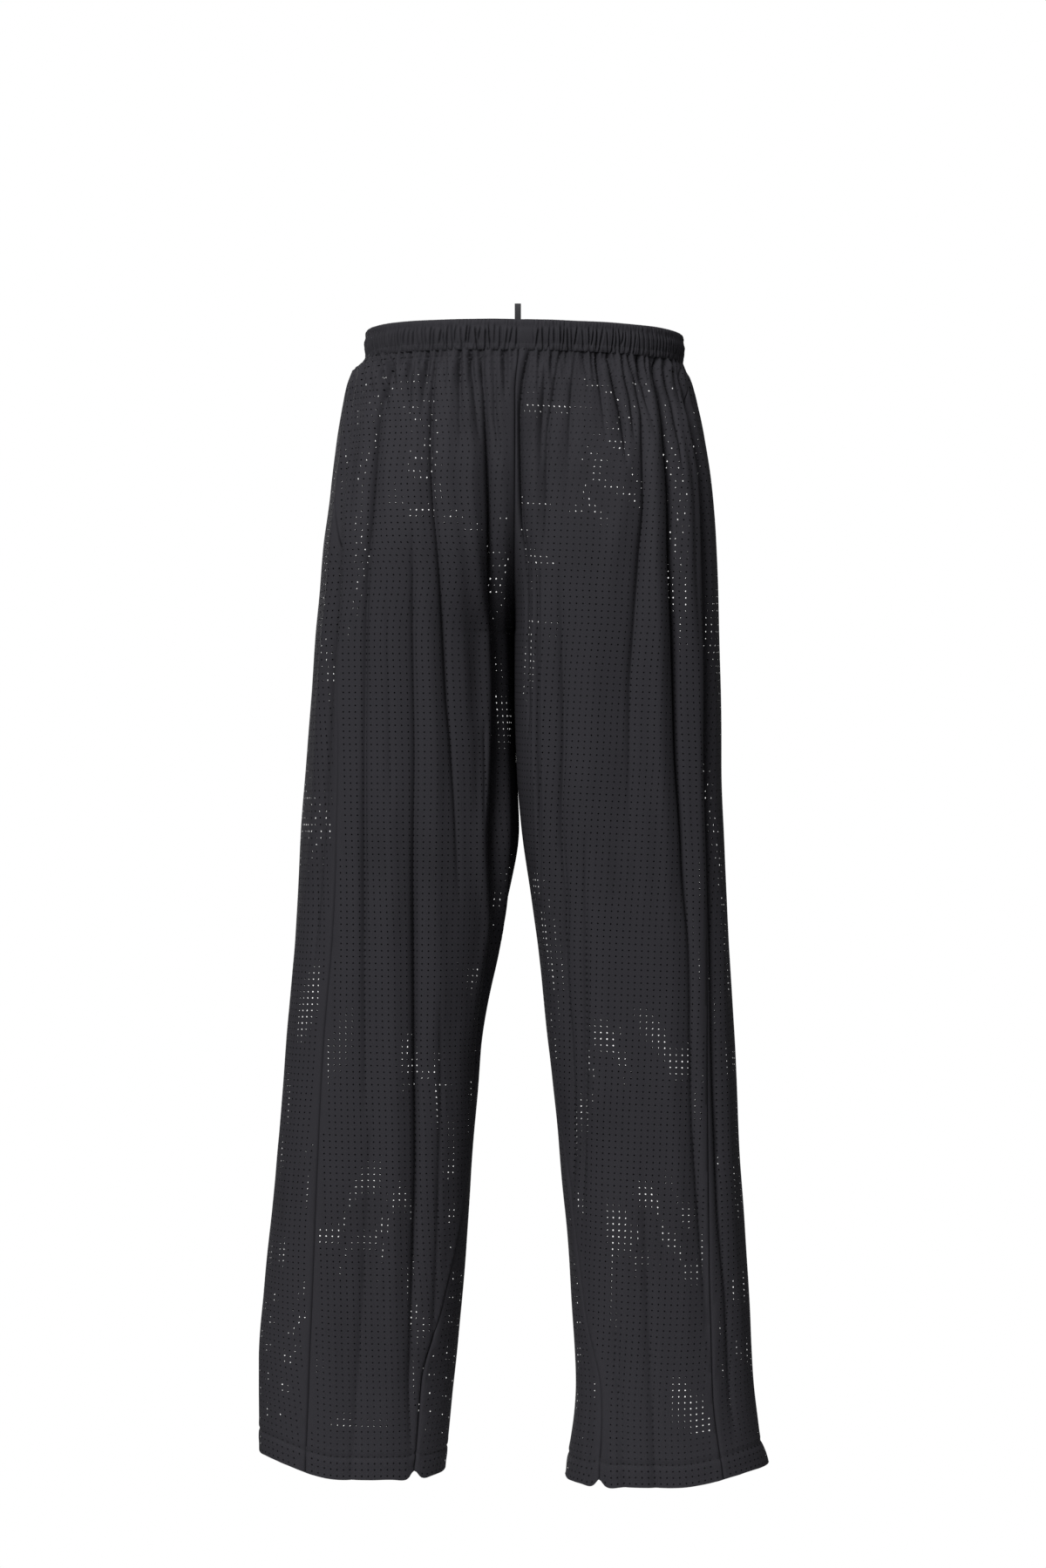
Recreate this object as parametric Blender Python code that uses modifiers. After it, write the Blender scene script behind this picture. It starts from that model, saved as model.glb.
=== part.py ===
"""Joggers held in their worn shape: an elasticated waistband, four leg panels and a hanging loop.

Metres, +Z up. The wearer faces -Y, so the back is at +Y and the wearer's left leg at +X.
The origin is the centre of the waistband ring. Tables are in millimetres.
"""

import math

import bmesh
import bpy
import numpy as np

MM = 0.001

CLOTH = 1.5  # wall of the leg panels
BAND_WALL = 3.2  # casing: two cloths over the elastic
SEAM_GAP = 0.8  # between the outer edges of two panels
BAND_HEIGHT = 29.0
BAND_TOP = 14.5
TOP_OF_LEGS = -15.0  # under the waistband, with a gap of 0.5 mm
BOTTOM_OF_LEGS = -1008.0
CROTCH = -255.0
TILT = 0.015  # the waist rises a little towards the wearer's left
SEAM_RISE_LEFT = 17.0  # the hem is drawn up at the side seam
SEAM_RISE_RIGHT = 12.0
HEM_DROP_RIGHT = 7.0  # the right leg hangs this much lower
WAIST_WIDE, WAIST_DEEP, WAIST_POWER = 145.0, 105.0, 2.3  # half sides of the waistband ring, and its fullness

# One row per section of a leg. x_in and x_out are the inner and outer extremes, cx the middle the
# section is drawn round, y_back and y_front its depth, power_* the fullness of each corner (2 is an
# ellipse, more is squarer), side and inseam the place of the two seams as degrees from the back.
SECTION_COLUMNS = (
    "z", "x_in", "x_out", "cx", "y_back", "y_front",
    "power_in", "power_out", "power_front", "side", "inseam",
)
LEFT_SECTIONS = (
    (-15, 5, 145, 0, 105, -105, 2.3, 2.3, 2.3, 82, -90),
    (-21, 5, 153, 4, 107, -107, 2.3, 2.3, 2.3, 80, -90),
    (-51, 8, 162, 28, 115, -111, 2.1, 2.2, 2.2, 74, -90),
    (-75, 8, 166, 42, 121, -113, 2.2, 2.3, 2.3, 71, -90),
    (-122, 8, 172, 62, 128, -115, 2.3, 2.4, 2.3, 66, -90),
    (-170, 8, 178, 78, 128, -114, 2.3, 2.5, 2.4, 57, -90),
    (-217, 8, 182, 88, 123, -112, 2.2, 2.5, 2.4, 48, -90),
    (-255, 8, 186, 95, 117, -110, 2.1, 2.5, 2.4, 44, -90),
    (-311, 8, 190, 99, 108, -104, 2.1, 2.5, 2.4, 39, -90),
    (-380, 6, 195, 101, 99, -97, 2.1, 2.5, 2.4, 36, -90),
    (-429, 4, 199, 102, 93, -92, 2.1, 2.5, 2.4, 35, -90),
    (-524, 21, 205, 113, 84, -82, 2.3, 2.5, 2.4, 32, -86),
    (-618, 36, 213, 125, 77, -75, 2.4, 2.5, 2.4, 31, -82),
    (-712, 44, 221, 132, 71, -69, 2.4, 2.5, 2.4, 29, -76),
    (-854, 55, 233, 144, 63, -61, 2.4, 2.4, 2.4, 25, -52),
    (-925, 62, 238, 150, 59, -58, 2.4, 2.4, 2.4, 23, -40),
    (-1010, 70, 238, 154, 56, -56, 2.4, 2.4, 2.4, 24, -40),
)
RIGHT_SECTIONS = (
    (-15, 5, -145, 0, 105, -105, 2.3, 2.3, 2.3, 80, -90),
    (-21, 5, -149, -4, 107, -107, 2.3, 2.3, 2.3, 76, -90),
    (-51, 8, -157, -28, 115, -111, 2.2, 2.2, 2.2, 64, -90),
    (-75, 8, -162, -42, 121, -113, 2.4, 2.3, 2.3, 60, -90),
    (-122, 8, -169, -62, 129, -115, 2.6, 2.4, 2.3, 54, -90),
    (-170, 8, -173, -76, 130, -114, 2.8, 2.5, 2.4, 49, -90),
    (-217, 8, -175, -84, 127, -112, 3.0, 2.5, 2.4, 47, -90),
    (-255, 7, -176, -85, 122, -110, 3.2, 2.5, 2.4, 48, -90),
    (-311, 7, -178, -86, 113, -104, 3.2, 2.5, 2.4, 48, -90),
    (-380, 5, -179, -87, 104, -97, 3.2, 2.5, 2.4, 49, -90),
    (-429, 1, -181, -90, 98, -92, 3.0, 2.5, 2.4, 48, -90),
    (-524, -12, -185, -98, 86, -82, 2.6, 2.5, 2.4, 43, -84),
    (-618, -22, -190, -106, 78, -75, 2.5, 2.5, 2.4, 38, -78),
    (-712, -32, -195, -114, 72, -69, 2.4, 2.5, 2.4, 33, -70),
    (-854, -44, -204, -124, 63, -61, 2.4, 2.4, 2.4, 28, -58),
    (-925, -47, -207, -127, 59, -58, 2.4, 2.4, 2.4, 27, -42),
    (-1010, -38, -217, -127, 56, -56, 2.4, 2.4, 2.4, 31, -38),
)
# How deep the centre seams lie, as a share of the section's depth: 0 is under the crotch.
RISE_COLUMNS = ("z", "share")
RISE = (
    (-15, 1.0), (-75, 0.985), (-122, 0.965), (-170, 0.925),
    (-205, 0.83), (-230, 0.64), (-247, 0.36), (-255, 0.0),
)
# The plane of the centre seams, which is pulled a little to the wearer's left.
CENTRE_COLUMNS = ("z", "x")
CENTRE = ((-15, 4), (-51, 7), (-255, 7), (-358, 7), (-405, 4), (-429, 2.5))

# The largest folds. Each row of a fold is a point of its valley: height, x, depth and half width.
FOLD_COLUMNS = ("z", "x", "depth", "width")
LEFT_BACK_FOLDS = {
    "seat_inner": (
        (-15, 38, 0, 8), (-56, 34, 5, 8), (-140, 29, 8, 9), (-253, 26, 12, 10),
        (-352, 26, 15, 11), (-428, 27, 13, 11), (-505, 34, 8, 10), (-620, 44, 2, 10), (-760, 62, 0, 10),
    ),
    "seat_middle": (
        (-15, 76, 0, 8), (-56, 80, 6, 8), (-140, 78, 5, 9), (-253, 68, 6, 10),
        (-352, 62, 5, 10), (-428, 60, 2, 12), (-520, 66, 0, 12), (-760, 84, 0, 12),
    ),
    "leg_middle": (
        (-15, 100, 0, 9), (-180, 97, 1, 9), (-253, 96, 4, 10), (-466, 96, 6, 12),
        (-620, 94, 9, 12), (-712, 98, 8, 12), (-804, 104, 7, 11), (-934, 112, 3, 12), (-1000, 114, 1, 12),
    ),
    "seat_outer": (
        (-15, 113, 0, 8), (-71, 128, 7, 8), (-117, 131, 8, 9), (-223, 137, 5, 10),
        (-466, 139, 4, 12), (-620, 139, 2, 12), (-700, 142, 0, 12), (-1000, 168, 0, 12),
    ),
}
RIGHT_BACK_FOLDS = {
    "seat_inner": (
        (-15, -24, 0, 8), (-56, -24, 3, 8), (-140, -22, 2, 9), (-253, -28, 3, 12),
        (-428, -32, 4, 12), (-543, -36, 4, 12), (-712, -55, 3, 12), (-850, -74, 0, 12), (-1000, -84, 0, 12),
    ),
    "seat_middle": (
        (-15, -93, 0, 8), (-56, -94, 5, 9), (-140, -104, 5, 10), (-193, -101, 6, 13),
        (-253, -97, 5, 14), (-390, -88, 2, 14), (-543, -88, 2, 14), (-712, -100, 3, 14), (-1000, -118, 1, 14),
    ),
    "seat_outer": (
        (-15, -119, 0, 8), (-56, -123, 8, 8), (-140, -129, 12, 10), (-223, -132, 12, 10),
        (-352, -136, 9, 11), (-466, -140, 6, 12), (-666, -146, 3, 12), (-758, -148, 4, 12),
        (-850, -151, 2, 12), (-1000, -156, 0, 12),
    ),
}
LEFT_FRONT_FOLDS = {
    "hip": (
        (-15, 104, 0, 8), (-80, 112, 6, 9), (-160, 120, 7, 10), (-260, 124, 5, 12),
        (-400, 130, 3, 13), (-620, 150, 3, 14), (-800, 166, 4, 14), (-1000, 184, 1, 12),
    ),
    "lap": (
        (-15, 60, 0, 8), (-80, 58, 6, 9), (-180, 60, 7, 10), (-300, 66, 5, 12),
        (-450, 76, 4, 14), (-600, 96, 6, 14), (-760, 122, 6, 13), (-1000, 142, 1, 12),
    ),
    "rise": (
        (-15, 26, 0, 8), (-90, 26, 5, 8), (-170, 28, 6, 9), (-240, 34, 5, 10),
        (-340, 38, 4, 12), (-480, 48, 3, 12), (-700, 82, 2, 12), (-1000, 104, 0, 12),
    ),
}
RIGHT_FRONT_FOLDS = {
    "hip": (
        (-15, -100, 0, 8), (-80, -108, 5, 9), (-160, -116, 6, 10), (-260, -120, 6, 12),
        (-400, -122, 4, 13), (-620, -134, 2, 14), (-800, -146, 4, 14), (-1000, -160, 1, 12),
    ),
    "lap": (
        (-15, -56, 0, 8), (-80, -56, 6, 9), (-180, -62, 6, 10), (-300, -66, 6, 12),
        (-450, -72, 3, 14), (-600, -86, 5, 14), (-760, -100, 6, 13), (-1000, -116, 1, 12),
    ),
    "rise": (
        (-15, -20, 0, 8), (-90, -22, 6, 8), (-170, -24, 6, 9), (-240, -30, 5, 10),
        (-340, -34, 3, 12), (-480, -42, 2, 12), (-700, -66, 3, 12), (-1000, -84, 0, 12),
    ),
}
# The front panels are drawn in just outside the side seams, on the side that faces back.
LEFT_SIDE_FOLD = (
    (-15, 142, 0, 7), (-51, 153, 3, 7), (-94, 157, 5, 7), (-140, 163, 8, 8), (-193, 167, 9, 8),
    (-253, 171, 9, 9), (-314, 175, 7, 9), (-428, 181, 4, 9), (-560, 190, 2, 9), (-700, 202, 0, 9), (-1000, 220, 0, 9),
)
RIGHT_SIDE_FOLD = (
    (-15, -138, 0, 7), (-56, -146, 5, 7), (-117, -159, 7, 7), (-162, -163, 8, 8), (-223, -165, 9, 8),
    (-352, -168, 9, 9), (-428, -170, 8, 9), (-581, -175, 6, 10), (-712, -180, 5, 10), (-850, -188, 3, 10),
    (-1000, -198, 0, 10),
)
ROWS = (
    TOP_OF_LEGS, -24, -44, -70, -98, -130, -162, -190, -212, -230, -244, -252, -255,
    -266, -296, -340, -385, -428, -480, -545, -620, -700, -780, -860, -940, BOTTOM_OF_LEGS,
)
VALLEY_REACH = 9.0  # the columns beside a valley stand this far from it
# Columns on each crest, from the centre back round to the side seam, and on to the centre front.
# The front panel has more where it turns round the outside and the inside of the leg.
BACK_CRESTS = {1: (1, 1, 1, 1, 1), -1: (1, 1, 1, 1)}
FRONT_CRESTS = (0, 4, 1, 1, 4)


def smooth(table, columns, name, z):
    """One column of a table at height z, on a curve that runs through its rows without overshoot."""
    rows = sorted(table)
    place = columns.index(name)
    x = np.array([row[0] for row in rows], float)
    y = np.array([row[place] for row in rows], float)
    z = min(max(z, x[0]), x[-1])
    step = np.diff(x)
    rise = np.diff(y) / step
    slope = np.zeros_like(y)
    for i in range(1, len(x) - 1):
        if rise[i - 1] * rise[i] > 0:
            near, far = 2 * step[i] + step[i - 1], step[i] + 2 * step[i - 1]
            slope[i] = (near + far) / (near / rise[i - 1] + far / rise[i])
    slope[0], slope[-1] = rise[0], rise[-1]
    i = min(int(np.searchsorted(x, z, side="right")) - 1, len(x) - 2)
    t = (z - x[i]) / step[i]
    return (
        (1 + 2 * t) * (1 - t) ** 2 * y[i]
        + t * (1 - t) ** 2 * step[i] * slope[i]
        + t * t * (3 - 2 * t) * y[i + 1]
        + t * t * (t - 1) * step[i] * slope[i + 1]
    )


def ease(t):
    t = np.clip(t, 0.0, 1.0)
    return t * t * (3 - 2 * t)


class Section:
    """A leg's section at one height: a squared ellipse with four different corners, cut at the centre."""

    def __init__(self, hand, z):
        table = LEFT_SECTIONS if hand > 0 else RIGHT_SECTIONS
        value = {name: smooth(table, SECTION_COLUMNS, name, z) for name in SECTION_COLUMNS[1:]}
        self.hand, self.z, self.value = hand, z, value
        self.cx = value["cx"]
        self.cy = (value["y_back"] + value["y_front"]) / 2
        self.deep = (value["y_back"] - value["y_front"]) / 2
        self.out = hand * (value["x_out"] - self.cx)
        self.centre = smooth(CENTRE, CENTRE_COLUMNS, "x", z) + hand * SEAM_GAP / 2
        self.open = z > CROTCH + 1e-6
        reach = hand * (self.cx - self.centre)
        if self.open:
            share = smooth(RISE, RISE_COLUMNS, "share", z)
            power = value["power_in"]
            wide = max(1 - share**power, 1e-6) ** (1 / power)
            self.inn = max(reach, 1.0) / wide if reach > 1 else 145.0
        else:
            self.inn = hand * (self.cx - value["x_in"])
        if z > -450 and not self.open:
            self.inn = min(self.inn, reach)

    def point(self, angle):
        """x and y at an angle, 0 at the back, 90 degrees at the outer side, 180 at the front."""
        s, c = np.sin(angle), np.cos(angle)
        value = self.value
        power = np.where(
            c < 0, value["power_front"], np.where(s < 0, value["power_in"], value["power_out"])
        )
        wide = np.where(s < 0, self.inn, self.out)
        x = self.cx + self.hand * wide * np.sign(s) * np.abs(s) ** (2 / power)
        y = self.cy + self.deep * np.sign(c) * np.abs(c) ** (2 / power)
        return x, y

    def angle_at(self, x, front):
        """The angle of the back or front point at this x."""
        away = self.hand * (x - self.cx)
        value = self.value
        if front:
            power = value["power_front"]
        else:
            power = value["power_out"] if away >= 0 else value["power_in"]
        wide = self.out if away >= 0 else self.inn
        s = min(abs(away) / wide, 0.9999) ** (power / 2) * (1 if away >= 0 else -1)
        return math.pi - math.asin(s) if front else math.asin(s)

    def ends(self):
        """Angles of the centre back or inseam, of the side seam, and of the front's far edge."""
        side = math.radians(self.value["side"])
        if self.open:
            return self.angle_at(self.centre, False), side, self.angle_at(self.centre, True)
        inseam = math.radians(self.value["inseam"])
        return inseam, side, inseam + 2 * math.pi


class Row:
    """A section with its folds, measured along the cloth."""

    COUNT = 1500

    def __init__(self, hand, z):
        section = Section(hand, z)
        start, side, end = section.ends()
        angle = np.linspace(start, end, self.COUNT)
        x, y = section.point(angle)
        along = np.concatenate([[0], np.cumsum(np.hypot(np.diff(x), np.diff(y)))])
        nx, ny = -hand * np.gradient(y), hand * np.gradient(x)
        length = np.hypot(nx, ny)
        nx, ny = nx / length, ny / length
        self.along, self.section, self.angle = along, section, angle
        self.side = np.interp(side, angle, along)
        self.valleys = {}
        push = np.zeros_like(along)
        back = LEFT_BACK_FOLDS if hand > 0 else RIGHT_BACK_FOLDS
        front = LEFT_FRONT_FOLDS if hand > 0 else RIGHT_FRONT_FOLDS
        side_fold = LEFT_SIDE_FOLD if hand > 0 else RIGHT_SIDE_FOLD
        folds = [("back", name, rows, False) for name, rows in back.items()]
        folds += [("front", "side", side_fold, False)]
        folds += [("front", name, rows, True) for name, rows in front.items()]
        for panel, name, rows, on_front in folds:
            fold_x = smooth(rows, FOLD_COLUMNS, "x", z)
            depth = smooth(rows, FOLD_COLUMNS, "depth", z)
            width = smooth(rows, FOLD_COLUMNS, "width", z)
            place = np.interp(section.angle_at(fold_x, on_front), angle, along)
            t = (along - place) / width
            push -= depth * np.exp(-np.abs(t) ** 1.7)
            push += 0.2 * depth * np.exp(-(((np.abs(t) - 2.1) / 0.9) ** 2))
            self.valleys.setdefault(panel, []).append(place)
        near = ease(np.minimum(along, along[-1] - along) / 25.0)
        push = np.where(push > 0, push * near, push)
        self.x = x + nx * push * (near if section.open else 1.0)
        self.y = y + ny * push
        fx, fy = -hand * np.gradient(self.y), hand * np.gradient(self.x)
        length = np.hypot(fx, fy)
        self.nx, self.ny = fx / length, fy / length
        # The hem is drawn up towards the side seam, and the waist tilts a little.
        rise = SEAM_RISE_LEFT if hand > 0 else SEAM_RISE_RIGHT
        drop = 0.0 if hand > 0 else HEM_DROP_RIGHT
        down = ease((-z - 760.0) / 245.0)
        up = ease((z + 90.0) / 75.0)
        pulled = rise * ease(np.sin(np.clip(angle, 0, math.pi))) - drop
        self.z = z + down * pulled + TILT * self.x * up

    def at(self, along):
        """The outer and the inner face of the cloth at this place."""
        x, y, z, nx, ny = (
            float(np.interp(along, self.along, v)) for v in (self.x, self.y, self.z, self.nx, self.ny)
        )
        return (x, y, z), (x - CLOTH * nx, y - CLOTH * ny, z)


def columns_between(start, valleys, end, between):
    """Places along the cloth: the edges, each valley, the cloth beside it and the crests between."""
    marks = [start] + sorted(valleys) + [end]
    room = (end - start) / (len(marks) * 1.6)
    for i in range(1, len(marks) - 1):
        marks[i] = max(marks[i], marks[i - 1] + min(room, 16.0))
    for i in range(len(marks) - 2, 0, -1):
        marks[i] = min(marks[i], marks[i + 1] - min(room, 16.0))
    places = [start]
    for i in range(len(marks) - 1):
        a, b = marks[i], marks[i + 1]
        reach = min(VALLEY_REACH, 0.3 * (b - a))
        low = a + reach if i > 0 else a
        high = b - reach if i < len(marks) - 2 else b
        if i > 0:
            places.append(low)
        places += [low + (high - low) * k / (between[i] + 1) for k in range(1, between[i] + 1)]
        if i < len(marks) - 2:
            places.append(high)
        places.append(b)
    return places


def material(name, colour, roughness):
    made = bpy.data.materials.new(name)
    made.use_nodes = True
    shader = made.node_tree.nodes["Principled BSDF"]
    shader.inputs["Base Color"].default_value = (*colour, 1.0)
    shader.inputs["Roughness"].default_value = roughness
    shader.inputs["Metallic"].default_value = 0.0
    return made


def wall(name, grid, closed, thickness, collection, look):
    """An open surface through rows of points, thickened inwards. Its faces point outwards."""
    mesh = bmesh.new()
    rows = [[mesh.verts.new([c * MM for c in point]) for point in row] for row in grid]
    count = len(grid[0])
    for upper, lower in zip(rows, rows[1:]):
        for i in range(count if closed else count - 1):
            j = (i + 1) % count
            mesh.faces.new((upper[i], lower[i], lower[j], upper[j]))
    data = bpy.data.meshes.new(name)
    mesh.to_mesh(data)
    mesh.free()
    data.materials.append(look)
    data.shade_smooth()
    made = bpy.data.objects.new(name, data)
    collection.objects.link(made)
    solid = made.modifiers.new("Wall", "SOLIDIFY")
    solid.thickness = thickness * MM
    solid.offset = -1.0
    solid.use_even_offset = False
    solid.use_rim = True
    return made


def loft(name, grid, collection, look):
    """A wall through rows of (outer, inner) points. Both faces follow the section's own normals, so
    that two panels keep their gap along a seam. The first point of a row is its left end from outside."""
    mesh = bmesh.new()
    rows = [[[mesh.verts.new([c * MM for c in p]) for p in pair] for pair in row] for row in grid]
    wide, high = len(grid[0]), len(grid)
    for upper, lower in zip(rows, rows[1:]):
        for i in range(wide - 1):
            a, b, c, d = upper[i], lower[i], lower[i + 1], upper[i + 1]
            mesh.faces.new((a[0], b[0], c[0], d[0]))
            mesh.faces.new((d[1], c[1], b[1], a[1]))
        mesh.faces.new((upper[0][1], lower[0][1], lower[0][0], upper[0][0]))
        mesh.faces.new((upper[-1][0], lower[-1][0], lower[-1][1], upper[-1][1]))
    for i in range(wide - 1):
        top, foot = rows[0], rows[high - 1]
        mesh.faces.new((top[i][0], top[i + 1][0], top[i + 1][1], top[i][1]))
        mesh.faces.new((foot[i][1], foot[i + 1][1], foot[i + 1][0], foot[i][0]))
    data = bpy.data.meshes.new(name)
    mesh.to_mesh(data)
    mesh.free()
    data.materials.append(look)
    data.shade_smooth()
    data.set_sharp_from_angle(angle=math.radians(60))
    collection.objects.link(bpy.data.objects.new(name, data))


def leg(hand, collection, look):
    rows = [Row(hand, z) for z in ROWS]
    back, front = [], []
    for row in rows:
        start, end = row.along[0], row.along[-1]
        edge = 0.0 if row.section.open else SEAM_GAP / 2
        back.append(
            [
                row.at(a)
                for a in columns_between(
                    start + edge, row.valleys["back"], row.side - SEAM_GAP / 2, BACK_CRESTS[hand]
                )
            ]
        )
        front.append(
            [
                row.at(a)
                for a in columns_between(
                    row.side + SEAM_GAP / 2, row.valleys["front"], end - edge, FRONT_CRESTS
                )
            ]
        )
    if hand > 0:
        back = [points[::-1] for points in back]
        front = [points[::-1] for points in front]
    side = "left" if hand > 0 else "right"
    loft(f"back_{side}", back, collection, look)
    loft(f"front_{side}", front, collection, look)


def waistband(collection, look):
    """The casing, rounded over at the top, on the same ring as the tops of the legs."""
    profile = (  # height over the band's foot, and how far the casing stands out there
        ("z", "out"),
        (0.0, 0.0), (4.0, 0.0), (10.0, 1.6), (22.0, 1.8), (27.4, 0.7), (29.0, -0.9),
    )[1:]
    count = 48
    grid = []
    for height, out in reversed(profile):
        ring = []
        for i in range(count):
            angle = -2 * math.pi * i / count
            across, deep = math.sin(angle), math.cos(angle)
            x = (WAIST_WIDE + out) * math.copysign(abs(across) ** (2 / WAIST_POWER), across)
            y = (WAIST_DEEP + out) * math.copysign(abs(deep) ** (2 / WAIST_POWER), deep)
            z = BAND_TOP - BAND_HEIGHT + height + TILT * x
            ring.append((x, y, z))
        grid.append(ring)
    wall("waistband", grid, True, BAND_WALL, collection, look)


def hanging_loop(collection, look):
    """A 5.5 mm tape that leaves the inside of the casing at centre back and doubles over."""
    half = 2.75
    x0 = 4.5
    inside = WAIST_DEEP - 2.2 - BAND_WALL
    path = (  # y and z along the tape
        ("y", "z"),
        (inside - 0.6, -3.0), (inside - 0.7, 6.0), (inside - 0.9, 14.0), (inside - 0.2, 19.0),
        (inside + 0.3, 23.5), (inside - 0.4, 27.6), (inside - 1.9, 29.6), (inside - 3.6, 28.4),
        (inside - 4.4, 24.0), (inside - 4.1, 19.0), (inside - 3.2, 13.5), (inside - 3.0, 6.0), (inside - 3.0, -3.0),
    )[1:]
    grid = [[(x0 + half, y, z + TILT * x0), (x0 - half, y, z + TILT * x0)] for y, z in path]
    made = wall("hanging_loop", grid, False, 0.9, collection, look)
    made.modifiers["Wall"].offset = 0.0


def main():
    for old in list(bpy.data.objects):
        bpy.data.objects.remove(old, do_unlink=True)
    collection = bpy.data.collections.new("joggers")
    bpy.context.scene.collection.children.link(collection)
    cloth = material("perforated_cloth", (0.028, 0.028, 0.030), 0.78)
    casing = material("casing_cloth", (0.027, 0.027, 0.029), 0.8)
    tape = material("loop_tape", (0.045, 0.045, 0.048), 0.7)
    for hand in (1, -1):
        leg(hand, collection, cloth)
    waistband(collection, casing)
    hanging_loop(collection, tape)


main()
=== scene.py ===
"""The looks of the joggers: perforated leg panels, ruffled waistband, turned-up hems, stitches and loop.

Lengths in the tables are millimetres. The back faces +Y, the left leg is at +X.
hand is 1 for the left leg and -1 for the right one.
"""

import math

import bpy
import numpy as np
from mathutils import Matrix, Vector


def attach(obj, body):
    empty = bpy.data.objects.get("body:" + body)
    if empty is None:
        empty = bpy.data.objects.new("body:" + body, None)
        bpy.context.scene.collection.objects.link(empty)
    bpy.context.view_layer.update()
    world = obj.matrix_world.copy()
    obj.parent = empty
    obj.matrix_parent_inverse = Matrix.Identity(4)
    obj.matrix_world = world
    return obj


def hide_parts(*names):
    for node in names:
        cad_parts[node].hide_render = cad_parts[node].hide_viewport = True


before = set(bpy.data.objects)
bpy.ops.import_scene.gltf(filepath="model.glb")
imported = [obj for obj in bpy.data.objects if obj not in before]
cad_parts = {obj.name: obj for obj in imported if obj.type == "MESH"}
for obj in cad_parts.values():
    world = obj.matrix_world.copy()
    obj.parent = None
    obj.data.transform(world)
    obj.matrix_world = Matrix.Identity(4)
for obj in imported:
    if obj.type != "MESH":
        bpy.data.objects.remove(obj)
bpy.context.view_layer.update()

MM = 0.001
TOP, BOTTOM = -8.0, -1008.0
CROTCH = -255.0
LEVELS = 355
STEP = (TOP - BOTTOM) / (LEVELS - 1)  # half the pitch of the perforation
FRONT_ROWS_LESS = 6  # the front is a little stretched over the seat and thighs, so it has fewer rows of holes
PITCH = 2 * STEP
HOLE = 0.76  # radius of a hole
COUNT = 1500  # samples round a leg
TILT = 0.015
SEAM_RISE = {1: 17.0, -1: 12.0}
HEM_DROP = {1: 0.0, -1: 7.0}
WAIST_WIDE, WAIST_DEEP, WAIST_POWER = 142.7, 104.5, 2.3
HEM_HEIGHT = 20.0
CREASE = 0.27  # width of the crease in a fold, as a share of the fold's
DENSE = {"back": (91, 177), "front": (15, 88)}  # rows of holes down to which the mesh is fine, and then medium

# ---------------------------------------------------------------- the form, as in the CAD part

SECTION_COLUMNS = (
    "z", "x_in", "x_out", "cx", "y_back", "y_front",
    "power_in", "power_out", "power_front", "side", "inseam",
)
LEFT_SECTIONS = (
    (-15, 5, 145, 0, 105, -105, 2.3, 2.3, 2.3, 82, -90),
    (-21, 5, 153, 4, 107, -107, 2.3, 2.3, 2.3, 80, -90),
    (-51, 8, 162, 28, 115, -111, 2.1, 2.2, 2.2, 74, -90),
    (-75, 8, 166, 42, 121, -113, 2.2, 2.3, 2.3, 71, -90),
    (-122, 8, 172, 62, 128, -115, 2.3, 2.4, 2.3, 66, -90),
    (-170, 8, 178, 78, 128, -114, 2.3, 2.5, 2.4, 57, -90),
    (-217, 8, 182, 88, 123, -112, 2.2, 2.5, 2.4, 48, -90),
    (-255, 8, 186, 95, 117, -110, 2.1, 2.5, 2.4, 44, -90),
    (-311, 8, 190, 99, 108, -104, 2.1, 2.5, 2.4, 39, -90),
    (-380, 6, 195, 101, 99, -97, 2.1, 2.5, 2.4, 36, -90),
    (-429, 4, 199, 102, 93, -92, 2.1, 2.5, 2.4, 35, -90),
    (-524, 21, 205, 113, 84, -82, 2.3, 2.5, 2.4, 32, -86),
    (-618, 36, 213, 125, 77, -75, 2.4, 2.5, 2.4, 31, -82),
    (-712, 44, 221, 132, 71, -69, 2.4, 2.5, 2.4, 29, -76),
    (-854, 55, 233, 144, 63, -61, 2.4, 2.4, 2.4, 25, -52),
    (-925, 62, 238, 150, 59, -58, 2.4, 2.4, 2.4, 23, -40),
    (-1010, 70, 238, 154, 56, -56, 2.4, 2.4, 2.4, 24, -40),
)
RIGHT_SECTIONS = (
    (-15, 5, -145, 0, 105, -105, 2.3, 2.3, 2.3, 80, -90),
    (-21, 5, -149, -4, 107, -107, 2.3, 2.3, 2.3, 76, -90),
    (-51, 8, -157, -28, 115, -111, 2.2, 2.2, 2.2, 64, -90),
    (-75, 8, -162, -42, 121, -113, 2.4, 2.3, 2.3, 60, -90),
    (-122, 8, -169, -62, 129, -115, 2.6, 2.4, 2.3, 54, -90),
    (-170, 8, -173, -76, 130, -114, 3.1, 2.5, 2.4, 49, -90),
    (-217, 8, -175, -84, 127, -112, 3.7, 2.5, 2.4, 47, -90),
    (-255, 7, -176, -85, 122, -110, 4.2, 2.5, 2.4, 48, -90),
    (-311, 7, -178, -86, 113, -104, 4.3, 2.5, 2.4, 48, -90),
    (-380, 5, -179, -87, 104, -97, 4.3, 2.5, 2.4, 49, -90),
    (-429, 1, -181, -90, 98, -92, 3.9, 2.5, 2.4, 48, -90),
    (-524, -12, -185, -98, 86, -82, 3.0, 2.5, 2.4, 43, -84),
    (-618, -22, -190, -106, 78, -75, 2.5, 2.5, 2.4, 38, -78),
    (-712, -32, -195, -114, 72, -69, 2.4, 2.5, 2.4, 33, -70),
    (-854, -44, -204, -124, 63, -61, 2.4, 2.4, 2.4, 28, -58),
    (-925, -47, -207, -127, 59, -58, 2.4, 2.4, 2.4, 27, -42),
    (-1010, -38, -217, -127, 56, -56, 2.4, 2.4, 2.4, 31, -38),
)
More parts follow.
